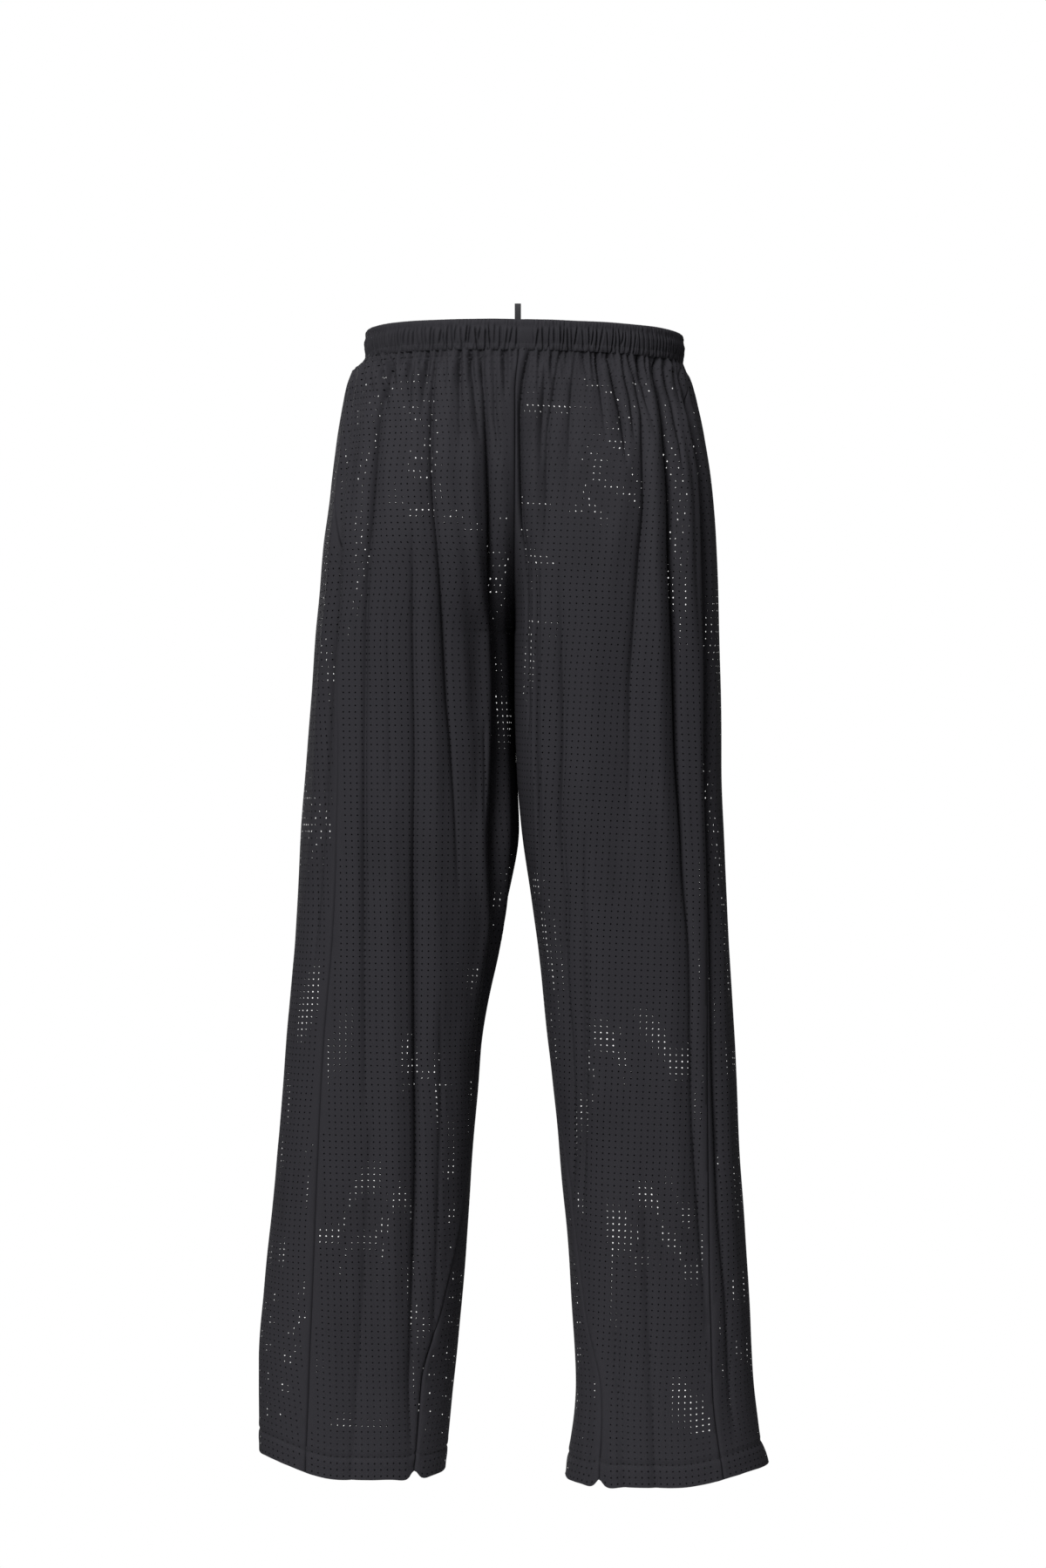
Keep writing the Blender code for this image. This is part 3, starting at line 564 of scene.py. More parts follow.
def perforated(leg, panel, material):
    """One leg panel as cut from perforated cloth: whole cells with their hole, and zipped edges.

    Columns and lines are counted in quarters of the pitch.
    """
    leg.use(panel)
    hand = leg.hand
    slope = GRAIN[(hand, panel)][1]
    cells_down = (LEVELS - 1) // 2 - (FRONT_ROWS_LESS if panel == "front" else 0)
    lines = np.arange(4 * cells_down + 1)
    rows = np.arange(LEVELS)
    low = (leg.start if panel == "back" else leg.side) - leg.line
    high = (leg.side if panel == "back" else leg.end) - leg.line
    fine, medium = DENSE[panel]

    # Where the cloth lay close on the seat and thighs no light came through both layers: the rows of the
    # front fall between those of the back there. A band over the seat lets some light through.
    index = np.arange(2 * cells_down + 1, dtype=float)
    height = index.copy()
    if panel == "front":
        eye = (TOP + 389.8) / STEP
        full = 0.88 + 0.12 * ease((index - 40.0) / 20.0)
        y_back, y_front = (full * np.interp(index + 9, rows, column) for column in leg.depth)
        grow = (3000 - y_front) / (3000 - y_back)
        behind = 10.4 - ease((index - 9.0) / 7.0) - 0.4 * ease((index - 39.0) / 7.0)
        # The rows of the back slope about another grain line.
        apart = GRAIN[(hand, "back")][0][0][1] - GRAIN[(hand, "front")][0][0][1]
        behind = behind - 1.35 * abs(apart) * GRAIN[(hand, "back")][1] / STEP * (1 - ease(index / 150.0))
        wanted = eye + (index + behind - eye) * grow - index
        wanted = np.where(index < 10, wanted[10] * ease(index / 10), wanted)
        thigh = 182
        rest = LEVELS - 1 - 2 * cells_down
        wanted[thigh:] = wanted[thigh] + (rest - wanted[thigh]) * ease((index[thigh:] - thigh) / 120.0)
        height = index + wanted

    def tilted(u, row):
        """The rows of holes slope a little across the panel, but not at its ends."""
        if panel == "front":
            # Beside the centre seam no light comes through either.
            inner = 1 - ease((np.interp(row, rows, high) - u - 55.0) / 35.0)
            row = row + inner * (1 - ease((row - 36.0) / 16.0)) * ease((row - 8.0) / 8.0)
        row = np.interp(row, index, height)
        calm = ease(row * STEP / 60.0) * ease((LEVELS - 1 - row) * STEP / 90.0)
        return np.clip(row + slope * u * calm / STEP, 0, LEVELS - 1)

    def spacing(j):
        return 1 if j < fine else 2 if j < medium or cells_down - 6 <= j < cells_down - 1 else 4

    line_step = np.zeros(len(lines), int)
    for line in lines:
        j = line // 4
        own = spacing(min(j, cells_down - 1))
        line_step[line] = min(own, spacing(j - 1)) if line % 4 == 0 and j else own
    edge_u, edge_level = {}, {}
    for side, limit, way in (("low", low, 1), ("high", high, -1)):
        for n, away in enumerate(EDGE):
            level = lines / 2
            for _ in range(5):
                u = np.interp(level, rows, limit) + way * away
                level = tilted(u, lines / 2)
            edge_u[side, n], edge_level[side, n] = u, level
    inner = len(EDGE) - 1
    first = np.ceil((edge_u["low", inner] + 0.35) / QUARTER / line_step).astype(int) * line_step
    last = np.floor((edge_u["high", inner] - 0.35) / QUARTER / line_step).astype(int) * line_step
    plain = (2.2, 2.4)

    ids, us, levels, dips = {}, [], [], []

    def add(key, u, level, dip):
        if key not in ids:
            ids[key] = len(us)
            us.append(u)
            levels.append(level)
            dips.append(dip)
        return ids[key]

    def grid(i, line):
        return add((i, line), i * QUARTER, line / 2, 0.0)

    def edge(side, n, line):
        return add((side, n, line), edge_u[side, n][line], -1.0 - edge_level[side, n][line], DIP[n])

    def pattern(steps):
        """Ring of a cell's corner and edge points, and the triangles between it and the hole's eight."""
        top, beside, bottom = steps
        ring = [(i, 0) for i in range(0, 4, top)] + [(4, k) for k in range(0, 4, beside)]
        ring += [(i, 4) for i in range(4, 0, -bottom)] + [(0, k) for k in range(4, 0, -beside)]
        around = [math.atan2(k - 2, i - 2) for i, k in ring]
        around = [a if a >= -2.4 else a + 2 * math.pi for a in around] + [around[0] + 2 * math.pi]
        hole = [math.radians(-135 + 45 * i) for i in range(9)]
        n = len(ring)
        made = zip_lines([i % n for i in range(n + 1)], [n + i % 8 for i in range(9)], around, hole)
        return ring, made

    patterns = {(top, own, bottom): pattern((top, own, bottom)) for top in (1, 2, 4) for own in (2, 4) for bottom in (2, 4)}
    block = [(1, 1), (2, 1), (3, 1), (3, 2), (3, 3), (2, 3), (1, 3), (1, 2)]
    squares = [(i, k) for i in range(4) for k in range(4) if not (0 < i < 3 and 0 < k < 3)]
    triangles, cells = [], []
    hole_triangles = []
    for j in range(cells_down):
        own = spacing(j)
        here = np.arange(4 * j, 4 * j + 5, own)
        a = max(((edge_u["low", 0][here] + plain[0]) / QUARTER).max(), first[here].max())
        b = min(((edge_u["high", 0][here] - plain[1]) / QUARTER).min(), last[here].min())
        a, b = int(math.ceil(a / 4)) * 4, int(math.floor(b / 4)) * 4
        for i in range(a, b, 4):
            number = len(cells)
            cells.append((i, 4 * j))
            if own == 1:
                for di, dk in squares:
                    p, q = grid(i + di, 4 * j + dk), grid(i + di + 1, 4 * j + dk)
                    r, t = grid(i + di + 1, 4 * j + dk + 1), grid(i + di, 4 * j + dk + 1)
                    triangles += [(p, q, r), (p, r, t)] if (di + dk) % 2 else [(p, q, t), (q, r, t)]
                ring = [grid(i + di, 4 * j + dk) for di, dk in block]
                for n in range(8):
                    m = (n + 1) % 8
                    hole_triangles.append((ring[n], ring[m], -1 - (8 * number + m)))
                    hole_triangles.append((ring[n], -1 - (8 * number + m), -1 - (8 * number + n)))
            else:
                outline, made = patterns[int(line_step[4 * j]), own, int(line_step[4 * j + 4])]
                ring = [grid(i + di, 4 * j + dk) for di, dk in outline]
                n = len(ring)
                for t in made:
                    hole_triangles.append(tuple(ring[v] if v < n else -1 - (8 * number + v - n) for v in t))
        for top, bottom in zip(here[:-1], here[1:]):
            spans = [("low", None, a), ("high", b, None)] if b > a else [("whole", None, None)]
            for name, left, right in spans:
                pair, places = [], []
                for line in (top, bottom):
                    step = int(line_step[line])
                    i0 = first[line] if left is None else left
                    i1 = last[line] if right is None else right
                    found = [grid(i, line) for i in range(i0, i1 + 1, step)]
                    at = [i * QUARTER for i in range(i0, i1 + 1, step)]
                    if name in ("low", "whole"):
                        found, at = [edge("low", inner, line)] + found, [edge_u["low", inner][line]] + at
                    if name in ("high", "whole"):
                        found, at = found + [edge("high", inner, line)], at + [edge_u["high", inner][line]]
                    pair.append(found)
                    places.append(at)
                triangles += zip_lines(pair[0], pair[1], places[0], places[1])
            for side in ("low", "high"):
                for n in range(inner):
                    p, q = edge(side, n, top), edge(side, n + 1, top)
                    r, t = edge(side, n + 1, bottom), edge(side, n, bottom)
                    triangles += [(p, q, r), (p, r, t)] if side == "low" else [(q, p, t), (q, t, r)]
    u = np.array(us)
    row = np.array(levels, float)
    level = np.where(row < 0, -1.0 - row, tilted(u, np.maximum(row, 0)))
    body = leg.at(u, level, np.array(dips))
    # Above the crotch the centre seam's edge lies on its plane, just across it.
    middle = "low" if panel == "back" else "high"
    open_level = (TOP - CROTCH) / STEP + 0.5
    for (side, n, line), i in ((k, i) for k, i in ids.items() if len(k) == 3):
        if side == middle and n < 2 and level[i] <= open_level:
            body[i, 0] = np.interp(level[i], rows, leg.centre) + hand * (-0.12, 0.45)[n]
    # A lip turned in behind each seam, so that no light shows through it.
    used = sorted({line for kind, n, line in (k for k in ids if len(k) == 3) if kind == "low" and n == 0})
    lips, count = [], len(body)
    lip_u, lip_level = [], []
    for side in ("low", "high"):
        edge_ids = [edge(side, 0, line) for line in used]
        base = count + sum(len(part) for part in lips)
        lip = leg.at(u[edge_ids], level[edge_ids], np.full(len(used), -3.4))
        if side == middle:
            above = level[edge_ids] <= open_level
            plane = np.interp(level[edge_ids], rows, leg.centre)
            lip[above, 0] = plane[above] - hand * 0.35
            lip[above, 1] = body[edge_ids][above, 1] - (2.6 if panel == "back" else -2.6)
        lips.append(lip)
        lip_u.append(u[edge_ids])
        lip_level.append(level[edge_ids])
        for k in range(len(used) - 1):
            p, q, r, t = base + k, edge_ids[k], edge_ids[k + 1], base + k + 1
            triangles += [(p, q, r), (p, r, t)] if side == "low" else [(q, p, t), (q, t, r)]
    # The holes.
    centre = np.array(cells, float) + 2.0
    theta = np.radians(-135 + 45 * np.arange(8))
    hole_u = (centre[:, :1] * QUARTER + HOLE * np.cos(theta)).ravel()
    hole_row = (centre[:, 1:] / 2 + HOLE / STEP * np.sin(theta)).ravel()
    hole_level = tilted(hole_u, hole_row)
    rim = leg.at(hole_u, hole_level)
    base = count + 2 * len(used)
    hole_triangles = np.array(hole_triangles)
    hole_triangles = np.where(hole_triangles < 0, base - 1 - hole_triangles, hole_triangles)
    everything = np.concatenate([np.array(triangles), hole_triangles])
    if hand < 0:
        everything = everything[:, ::-1]
    all_u = np.concatenate([u, *lip_u, hole_u])
    all_level = np.concatenate([level, *lip_level, hole_level])
    uv = np.stack([(all_u - all_u.min()) / 1010.0 + 0.005, 1 - (all_level * STEP / 1010.0 + 0.006)], -1)
    points = np.concatenate([body, *lips, rim])
    made = make_mesh(f"{panel}_panel_{'left' if hand > 0 else 'right'}", points, everything, material, uv)
    return made


def lattice(rows, closed):
    """Faces of a lattice of points: rows, and columns that join up if closed."""
    n, m = rows
    i, j = np.meshgrid(np.arange(n - 1), np.arange(m if closed else m - 1), indexing="ij")
    k = (j + 1) % m
    return np.stack([i * m + j, (i + 1) * m + j, (i + 1) * m + k, i * m + k], -1).reshape(-1, 4)


def ring_of(leg, level, count, push=0.0, drop=0.0, shares=None):
    """Points round the leg at this level, moved out by push and down by drop."""
    k = int(min(math.floor(level), LEVELS - 2))
    f = min(level, LEVELS - 1) - k
    shares = (np.arange(count) / count) if shares is None else shares
    out = np.zeros((len(shares), 3))
    for r, w in ((k, 1 - f), (k + 1, f)):
        place = shares * leg.end[r]
        for i, field in enumerate((leg.x, leg.y, leg.h)):
            out[:, i] += w * np.interp(place, leg.a[r], field[r])
        out[:, 0] += w * push * np.interp(place, leg.a[r], leg.nx[r])
        out[:, 1] += w * push * np.interp(place, leg.a[r], leg.ny[r])
    out[:, 2] -= drop
    return out


def hem(leg, material):
    """The leg's end turned up inside: the fold at the edge, the inner layer and its overlocked end."""
    profile = (  # out, and height over the panel's edge
        (0.02, 0.6), (0.10, 0.1), (-0.05, -0.35), (-0.55, -0.75), (-1.25, -0.7), (-1.75, -0.2), (-2.0, 1.4),
        (-2.1, 5.0), (-1.9, 11.0), (-1.5, 17.0), (-1.2, 20.0), (-1.35, 22.0), (-1.9, 22.8), (-2.5, 22.0), (-2.3, 20.4),
    )
    count = 260
    wave = Noise(71 + leg.hand)
    s = np.arange(count) / count
    grid = []
    for out, height in profile:
        level = LEVELS - 1 - max(height, 0.0) / STEP
        low = max(-height, 0.0)
        puff = 0.35 * wave.at(s * 60, np.zeros(count)) * (1 if height < 12 else 0.2)
        # The edge waves a little.
        ring = ring_of(leg, level, count, 0.0, low)
        normal = ring_of(leg, level, count, 1.0, low) - ring
        grid.append(ring + normal * (out + np.where(height < 0.5, puff, 0.3 * puff))[:, None])
    points = np.concatenate(grid)
    faces = lattice((len(profile), count), True)
    if leg.hand < 0:
        faces = faces[:, ::-1]
    return make_mesh(f"hem_{'left' if leg.hand > 0 else 'right'}", points, faces, material)


def stitches(name, path, normals, material, length=2.6, gap=0.9, radius=0.2, seed=1, closed=True):
    """A row of thread stitches along a path: small raised capsules that dip into the cloth at their ends."""
    path, normals = np.asarray(path), np.asarray(normals)
    if closed:
        path, normals = np.vstack([path, path[:1]]), np.vstack([normals, normals[:1]])
    along = np.concatenate([[0], np.cumsum(np.linalg.norm(np.diff(path, axis=0), axis=1))])
    count = int(along[-1] / (length + gap))
    rng = np.random.RandomState(seed)
    shape = ((0.0, 0.35, -0.6), (0.15, 0.9, 0.35), (0.5, 1.0, 0.65), (0.85, 0.9, 0.35), (1.0, 0.35, -0.6))
    sides = 6
    points, faces = [], []
    for n in range(count):
        first = (n + 0.5) * along[-1] / count - length / 2
        skew = rng.uniform(-0.18, 0.18)
        rings = []
        for share, wide, lift in shape:
            at = first + share * length
            p = np.array([np.interp(at, along, path[:, i]) for i in range(3)])
            q = np.array([np.interp(at + 0.3, along, path[:, i]) for i in range(3)])
            up = np.array([np.interp(at, along, normals[:, i]) for i in range(3)])
            ahead = (q - p) / max(np.linalg.norm(q - p), 1e-6)
            cross = np.cross(ahead, up)
            cross /= max(np.linalg.norm(cross), 1e-6)
            p = p + up * (lift * radius) + cross * skew * (share - 0.5)
            rings.append([p + radius * wide * (math.cos(t) * cross + 0.8 * math.sin(t) * up)
                          for t in np.arange(sides) * 2 * math.pi / sides])
        base = len(points)
        points += [v for ring in rings for v in ring]
        for r in range(len(shape) - 1):
            for i in range(sides):
                j = (i + 1) % sides
                a, b = base + r * sides, base + (r + 1) * sides
                faces.append((a + i, a + j, b + j, b + i))
        faces.append(tuple(base + i for i in range(sides))[::-1])
        faces.append(tuple(base + (len(shape) - 1) * sides + i for i in range(sides)))
    return make_mesh(name, points, faces, material)


FOOT = -11.6  # height of the waistband's foot


class Band:
    """The waistband's path and its ruffled casing."""

    PROFILE = (  # height over the foot, how far out, share of the ruffles, share of the fine puckers
        (1.6, -2.4, 0.0, 0.0), (0.5, -1.7, 0.3, 0.6), (0.1, -1.0, 0.6, 1.2), (0.5, -0.4, 0.8, 1.8),
        (1.3, -0.05, 0.85, 2.2), (2.4, 0.15, 0.85, 2.4), (3.6, 0.3, 0.85, 2.4), (4.8, 0.35, 0.85, 2.2),
        (5.8, 0.35, 0.85, 1.8), (6.5, 0.35, 0.85, 1.4), (7.2, 0.45, 0.9, 0.8), (8.2, 0.65, 0.95, 0.4),
        (9.4, 0.9, 1.0, 0.1), (10.8, 1.1, 1.0, 0.0), (12.4, 1.25, 1.0, 0.0), (14.0, 1.3, 1.0, 0.0),
        (15.6, 1.4, 1.0, 0.0), (17.2, 1.25, 0.95, 0.0), (18.6, 1.0, 0.85, 0.2), (19.8, 0.75, 0.7, 0.7),
        (20.8, 0.6, 0.55, 1.2), (21.8, 0.6, 0.45, 1.6), (22.9, 0.65, 0.42, 1.8), (24.0, 0.65, 0.42, 1.8),
        (25.1, 0.45, 0.42, 1.8), (26.1, 0.05, 0.4, 1.7), (26.9, -0.6, 0.35, 1.4), (27.2, -1.4, 0.3, 1.1),
        (26.9, -2.3, 0.25, 0.9), (25.8, -3.0, 0.15, 0.6), (23.0, -3.4, 0.1, 0.3), (18.0, -3.5, 0.2, 0.1),
        (12.0, -3.5, 0.2, 0.1), (7.0, -3.4, 0.1, 0.3), (3.0, -3.3, 0.0, 0.3), (0.6, -3.2, 0.0, 0.2), (1.4, -2.6, 0.0, 0.0),
    )
    COUNT = 1380

    def __init__(self):
        angle = np.linspace(0, 2 * math.pi, 20001)
        s, c = np.sin(angle), np.cos(angle)
        x = -1.3 + WAIST_WIDE * np.sign(s) * np.abs(s) ** (2 / WAIST_POWER)
        y = WAIST_DEEP * np.sign(c) * np.abs(c) ** (2 / WAIST_POWER)
        along = np.concatenate([[0], np.cumsum(np.hypot(np.diff(x), np.diff(y)))])
        self.girth = along[-1]
        self.s = np.arange(self.COUNT) / self.COUNT * self.girth
        self.x, self.y = np.interp(self.s, along, x), np.interp(self.s, along, y)
        nx = np.roll(self.x, -1) - np.roll(self.x, 1)
        ny = np.roll(self.y, -1) - np.roll(self.y, 1)
        length = np.hypot(nx, ny)
        # The path runs from centre back towards +X, and this points away from the body.
        self.nx, self.ny = -ny / length, nx / length
        rng = np.random.RandomState(5)
        self.valleys, at = [], 2.0
        while at < self.girth - 2.0:
            self.valleys.append((
                at, rng.uniform(-0.16, 0.16) - 0.05, rng.uniform(2.2, 3.7), rng.uniform(0.6, 0.85),
                rng.uniform(-2.0, 8.5), rng.uniform(17.5, 22.0),
            ))
            at += rng.choice([3.0, 3.6, 4.2, 4.6, 5.4]) * rng.uniform(0.9, 1.1)
        self.fine = Noise(31)

    def apart(self, place):
        """Signed distance along the ring from a place, the short way round."""
        return (self.s - place + self.girth / 2) % self.girth - self.girth / 2

    def ruffles(self, height):
        deep = np.zeros(self.COUNT)
        for at, lean, depth, width, low, high in self.valleys:
            fade = (0.3 + 0.7 * ease((height - low + 2.0) / 3.0)) * (0.3 + 0.7 * ease((high - height + 1.0) / 3.0))
            if fade <= 0:
                continue
            away = np.abs(self.apart(at + lean * (height - 14.0))) / width
            deep -= depth * fade * np.exp(-np.minimum(away, 9) ** 1.35)
            deep += 0.2 * depth * fade * np.exp(-(((away - 1.9) / 0.8) ** 2))
        return deep

    def flat(self):
        """1 away from centre back, 0 where the casing's ends are joined flat."""
        away = self.apart(-1.0 % self.girth)
        return ease((np.abs(away) - 5.5) / 3.0)

    def ring(self, height, out, ruffle, fine):
        flat = self.flat()
        push = out + ruffle * self.ruffles(height) * flat
        push = push + fine * 0.34 * self.fine.at(self.s / 1.15, np.full(self.COUNT, height / 5.0)) * (0.3 + 0.7 * flat)
        seam = self.apart(4.6)
        push = push - 0.5 * np.exp(-((seam / 0.7) ** 2)) * (1.0 if out > -2.0 else 0.3)
        sway = 0.35 * self.fine.at(self.s / 26.0 + 7, np.full(self.COUNT, 3.5)) * ease(height / 14.0)
        x = self.x + self.nx * push
        y = self.y + self.ny * push
        z = FOOT + height + sway + TILT * x
        return np.stack([x, y, z], -1)

    def build(self, material):
        grid = [self.ring(*row) for row in self.PROFILE]
        faces = lattice((len(grid), self.COUNT), True)[:, ::-1]
        return make_mesh("waistband_casing", np.concatenate(grid), faces, material)


def catmull(points, per):
    """A smooth line through points."""
    p = np.asarray(points, float)
    p = np.vstack([2 * p[0] - p[1], p, 2 * p[-1] - p[-2]])
    out = []
    for i in range(1, len(p) - 2):
        for t in np.arange(per) / per:
            a, b, c, d = p[i - 1:i + 3]
            out.append(0.5 * (2 * b + (c - a) * t + (2 * a - 5 * b + 4 * c - d) * t**2 + (3 * b - a - 3 * c + d) * t**3))
    out.append(p[-2])
    return np.array(out)


def tape_loop(material):
    """A woven tape, 5.5 mm wide, that doubles over above the waistband."""
    inside = WAIST_DEEP - 5.4
    path = catmull(
        [(inside - 0.6, -3.0), (inside - 0.7, 6.0), (inside - 0.9, 14.0), (inside - 0.2, 19.0),
         (inside + 0.3, 23.5), (inside - 0.4, 27.6), (inside - 1.9, 29.6), (inside - 3.6, 28.4),
         (inside - 4.4, 24.0), (inside - 4.1, 19.0), (inside - 3.2, 13.5), (inside - 3.0, 6.0), (inside - 3.0, -3.0)], 8)
    x0 = 4.5
    # Across the tape: place, and half thickness, with a rounded selvedge at each side.
    across = ((-2.75, 0.0), (-2.68, 0.3), (-2.35, 0.46), (-1.9, 0.34), (-1.0, 0.40), (0.0, 0.42), (1.0, 0.40),
              (1.9, 0.34), (2.35, 0.46), (2.68, 0.3), (2.75, 0.0))
    loop = [(x, t) for x, t in across] + [(x, -t) for x, t in across[-2:0:-1]]
    points = []
    for i, (y, z) in enumerate(path):
        a, b = path[max(i - 1, 0)], path[min(i + 1, len(path) - 1)]
        t = (b - a) / np.linalg.norm(b - a)
        n = np.array([t[1], -t[0]])
        rib = 1.0 + 0.10 * math.cos(i * 2.4)
        for x, thick in loop:
            points.append((x0 + x, y + n[0] * thick * rib, z + n[1] * thick * rib + TILT * x0))
    m = len(loop)
    faces = [tuple(int(v) for v in f) for f in lattice((len(path), m), True)]
    faces.append(tuple(range(m)))
    faces.append(tuple(range((len(path) - 1) * m, len(path) * m))[::-1])
    made = make_mesh("loop_tape", points, faces, material)
    return made


def allowance(leg, name, line, way, material, width=3.6):
    """The overlocked seam allowance, inside the leg along a seam. It lies on one panel."""
    grid = []
    for k in range(4, LEVELS - 8, 3):
        rows = []
        for share, push in ((0.0, -1.8), (0.35, -2.0), (0.75, -2.0), (1.0, -2.2), (1.06, -2.8), (0.98, -3.1)):
            place = line[k] + way * share * width
            place = min(max(place, 0.0), leg.end[k])
            rows.append([
                np.interp(place, leg.a[k], leg.x[k]) + push * np.interp(place, leg.a[k], leg.nx[k]),
                np.interp(place, leg.a[k], leg.y[k]) + push * np.interp(place, leg.a[k], leg.ny[k]),
                np.interp(place, leg.a[k], leg.h[k]),
            ])
        grid.append(rows)
    grid = np.array(grid)
    faces = lattice(grid.shape[:2], False)
    if leg.hand * way < 0:
        faces = faces[:, ::-1]
    return make_mesh(name, grid.reshape(-1, 3), faces, material)


# ---------------------------------------------------------------- materials

def cloth_material(name, colour, roughness, weave, streak=0.10):
    """Matt dyed knit: a fine uneven surface, faint vertical streaks and paler patches at random."""
    made = bpy.data.materials.new(name)
    made.use_nodes = True
    nodes, links = made.node_tree.nodes, made.node_tree.links
    shader = nodes["Principled BSDF"]
    shader.inputs["Specular IOR Level"].default_value = 0.07
    place = nodes.new("ShaderNodeTexCoord")
    long = nodes.new("ShaderNodeMapping")
    long.inputs["Scale"].default_value = (95.0, 95.0, 3.2)
    links.new(place.outputs["Object"], long.inputs["Vector"])
    streaks = nodes.new("ShaderNodeTexNoise")
    streaks.inputs["Scale"].default_value = 1.0
    streaks.inputs["Detail"].default_value = 3.0
    links.new(long.outputs["Vector"], streaks.inputs["Vector"])
    broad = nodes.new("ShaderNodeTexNoise")
    broad.inputs["Scale"].default_value = 7.0
    broad.inputs["Detail"].default_value = 2.0
    links.new(place.outputs["Object"], broad.inputs["Vector"])
    fine = nodes.new("ShaderNodeTexNoise")
    fine.inputs["Scale"].default_value = weave
    fine.inputs["Detail"].default_value = 2.0
    links.new(place.outputs["Object"], fine.inputs["Vector"])
    total = nodes.new("ShaderNodeMath")
    total.operation = "MULTIPLY_ADD"
    total.inputs[1].default_value = 0.5
    links.new(streaks.outputs["Fac"], total.inputs[0])
    links.new(broad.outputs["Fac"], total.inputs[2])
    more = nodes.new("ShaderNodeMath")
    more.operation = "MULTIPLY_ADD"
    more.inputs[1].default_value = 0.6
    links.new(fine.outputs["Fac"], more.inputs[0])
    links.new(total.outputs["Value"], more.inputs[2])
    ramp = nodes.new("ShaderNodeValToRGB")
    low, high = (tuple(c * f for c in colour) + (1.0,) for f in (1 - streak, 1 + streak))
    ramp.color_ramp.elements[0].position, ramp.color_ramp.elements[1].position = 0.80, 1.30
    ramp.color_ramp.elements[0].position = 0.75
    ramp.color_ramp.elements[1].position = 1.0
    ramp.color_ramp.elements[0].color, ramp.color_ramp.elements[1].color = low, high
    links.new(more.outputs["Value"], ramp.inputs["Fac"])
    links.new(ramp.outputs["Color"], shader.inputs["Base Color"])
    rough = nodes.new("ShaderNodeMapRange")
    rough.inputs["To Min"].default_value = roughness - 0.06
    rough.inputs["To Max"].default_value = roughness + 0.06
    links.new(fine.outputs["Fac"], rough.inputs["Value"])
    links.new(rough.outputs["Result"], shader.inputs["Roughness"])
    bump = nodes.new("ShaderNodeBump")
    bump.inputs["Strength"].default_value = 0.35
    bump.inputs["Distance"].default_value = 0.00025
    links.new(fine.outputs["Fac"], bump.inputs["Height"])
    links.new(bump.outputs["Normal"], shader.inputs["Normal"])
    return made


def plain_material(name, colour, roughness):
    made = bpy.data.materials.new(name)
    made.use_nodes = True
    shader = made.node_tree.nodes["Principled BSDF"]
    shader.inputs["Base Color"].default_value = (*colour, 1.0)
    shader.inputs["Roughness"].default_value = roughness
    return made


# ---------------------------------------------------------------- building

def dress(made, slot, *nodes):
    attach(made, "root")
    if nodes:
        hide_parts(*nodes)
    return made


cloth = cloth_material("perforated_knit", (0.0255, 0.0247, 0.0290), 0.74, 1500.0)
casing = cloth_material("casing_knit", (0.0265, 0.0257, 0.0300), 0.76, 1500.0)
tape = cloth_material("loop_weave", (0.040, 0.040, 0.043), 0.7, 2400.0)
thread = cloth_material("thread", (0.020, 0.020, 0.022), 0.6, 3000.0)

for hand, side in ((1, "left"), (-1, "right")):
    leg = Leg(hand)
    for panel in ("back", "front"):
        made = perforated(leg, panel, cloth)
        dress(made, "cloth", f"{panel}_{side}")
    turned = dress(hem(leg, cloth), "cloth")
    row = ring_of(leg, leg.stitch, 420, 0.1)
    normal = ring_of(leg, leg.stitch, 420, 1.1) - row
    sewn = dress(stitches(f"hem_stitches_{side}", row, normal, thread, seed=3), "cloth")
    inner = [
        dress(allowance(leg, f"side_allowance_{side}", leg.side, -1, cloth), "cloth"),
        dress(allowance(leg, f"inner_allowance_{side}", leg.start, 1, cloth), "cloth"),
    ]

band = Band()
waist = dress(band.build(casing), "casing", "waistband")
loop = dress(tape_loop(tape), "tape", "hanging_loop")
for n, (height, out) in enumerate(((1.8, 0.05), (6.8, 0.38))):
    path = band.ring(height, out, 0.85, 1.3)
    normal = band.ring(height, out + 1.0, 0.85, 1.3) - path
    dress(stitches(f"band_stitches_{n + 1}", path, normal, thread, 2.1, 0.7, 0.17, seed=20 + n), "casing")

# ---------------------------------------------------------------- stage, light and camera

floor_mesh = bpy.data.meshes.new("floor")
rim = [(0.44 * math.cos(math.radians(3 * i)), 0.44 * math.sin(math.radians(3 * i)), 0.0) for i in range(120)]
floor_mesh.from_pydata(rim, [], [tuple(range(120))])
floor = bpy.data.objects.new("floor", floor_mesh)
floor.location.z = -1.215
floor_mesh.materials.append(plain_material("pale_floor", (0.8, 0.8, 0.8), 0.9))
bpy.context.scene.collection.objects.link(floor)

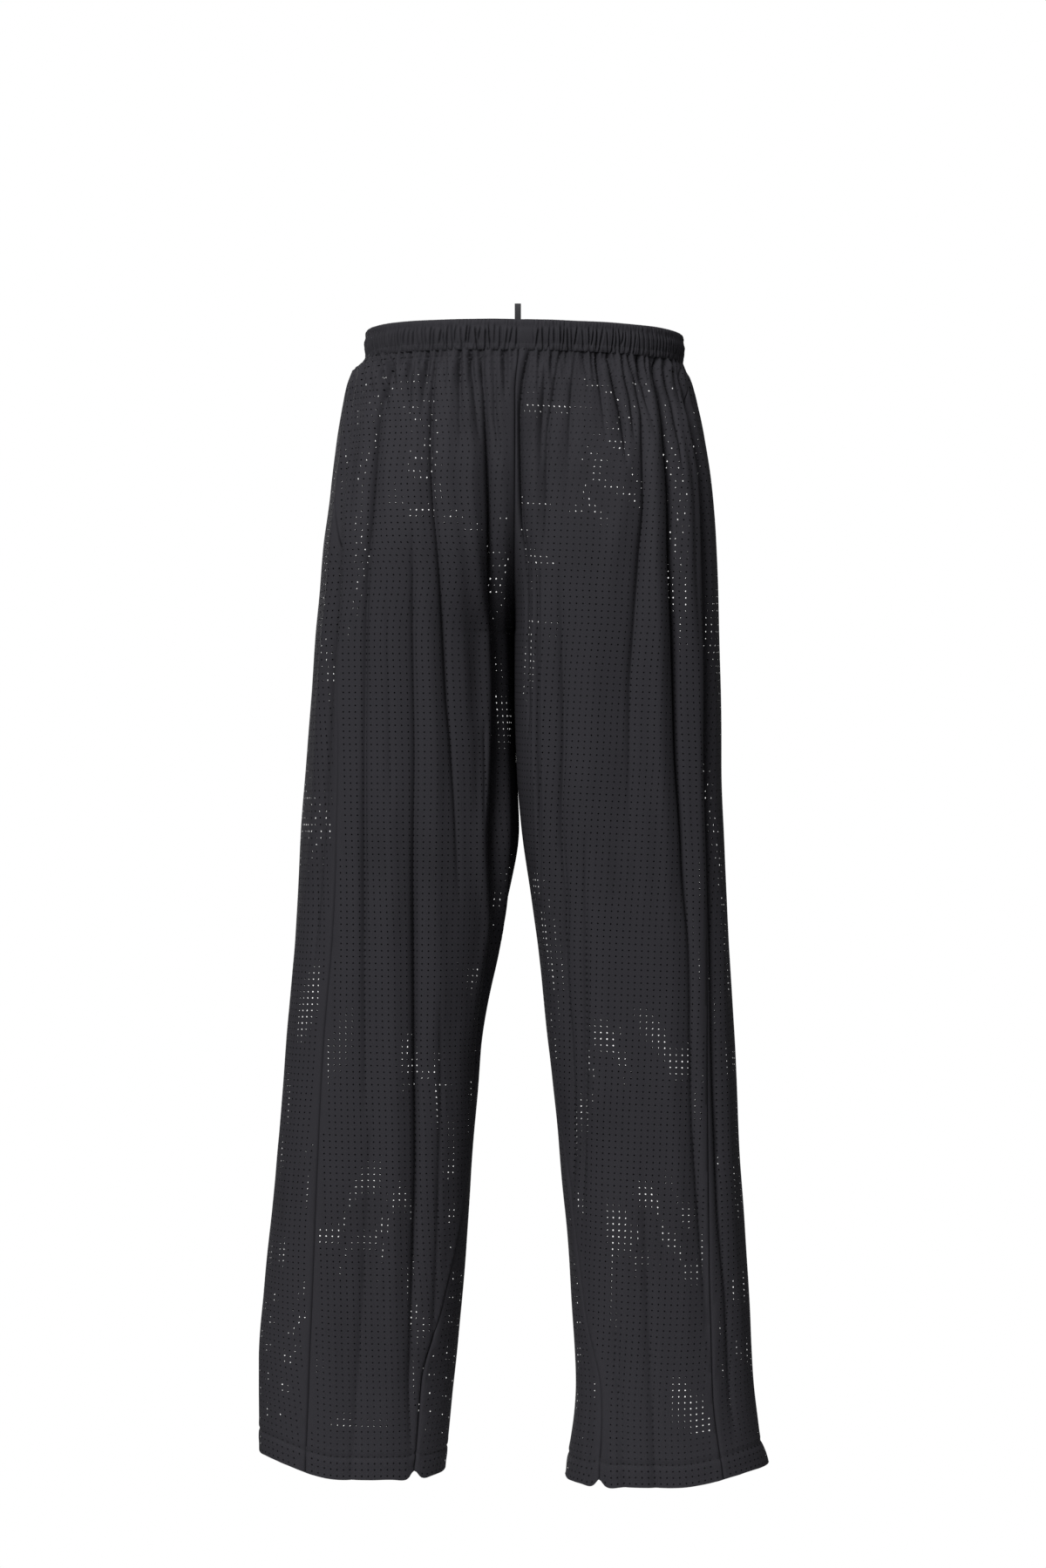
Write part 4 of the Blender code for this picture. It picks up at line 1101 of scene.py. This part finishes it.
world = bpy.data.worlds.new("studio")
world.use_nodes = True
sky = world.node_tree.nodes["Background"]
sky.inputs["Color"].default_value = (1.0, 1.0, 1.0, 1.0)
# The studio's paper is brighter than the light it gives.
seen = world.node_tree.nodes.new("ShaderNodeLightPath")
level = world.node_tree.nodes.new("ShaderNodeMapRange")
level.inputs["To Min"].default_value = 0.2
level.inputs["To Max"].default_value = 1.0
world.node_tree.links.new(seen.outputs["Is Camera Ray"], level.inputs["Value"])
world.node_tree.links.new(level.outputs["Result"], sky.inputs["Strength"])
bpy.context.scene.world = world


def soft_sun(name, azimuth, elevation, wide, strength):
    """Even light from a wide soft source. Azimuth 0 shines from +Y, 90 from +X."""
    data = bpy.data.lights.new(name, "SUN")
    data.angle, data.energy = math.radians(wide), strength * math.pi
    made = bpy.data.objects.new(name, data)
    a, e = math.radians(azimuth), math.radians(elevation)
    source = Vector((math.sin(a) * math.cos(e), math.cos(a) * math.cos(e), math.sin(e)))
    made.rotation_euler = (-source).to_track_quat("-Z", "Y").to_euler()
    made.location = source * 4
    bpy.context.scene.collection.objects.link(made)


soft_sun("key", 26, 32, 26, 0.50)
soft_sun("top", 0, 84, 60, 0.35)
soft_sun("front_key", 165, 26, 45, 0.40)

# A large soft box, high beside the camera: its light falls off towards the hems.
box_data = bpy.data.lights.new("soft_box", "AREA")
box_data.shape, box_data.size, box_data.energy = "DISK", 1.4, 33.0
box = bpy.data.objects.new("soft_box", box_data)
box.location = (1.0, 2.35, 0.55)
box.rotation_euler = (Vector((0.0, 0.1, -0.3)) - box.location).to_track_quat("-Z", "Y").to_euler()
bpy.context.scene.collection.objects.link(box)

camera_data = bpy.data.cameras.new("camera")
camera = bpy.data.objects.new("camera", camera_data)
camera.location = (0.0, 3.0, -0.3898)
camera.rotation_euler = (math.radians(90), 0.0, math.radians(180))
camera_data.sensor_fit = "VERTICAL"
camera_data.sensor_height = 36.0
camera_data.lens = 3812.0 / 1799.0 * 36.0
bpy.context.scene.collection.objects.link(camera)
bpy.context.scene.camera = camera
bpy.context.scene.view_settings.view_transform = "Standard"
bpy.context.scene.view_settings.look = "None"
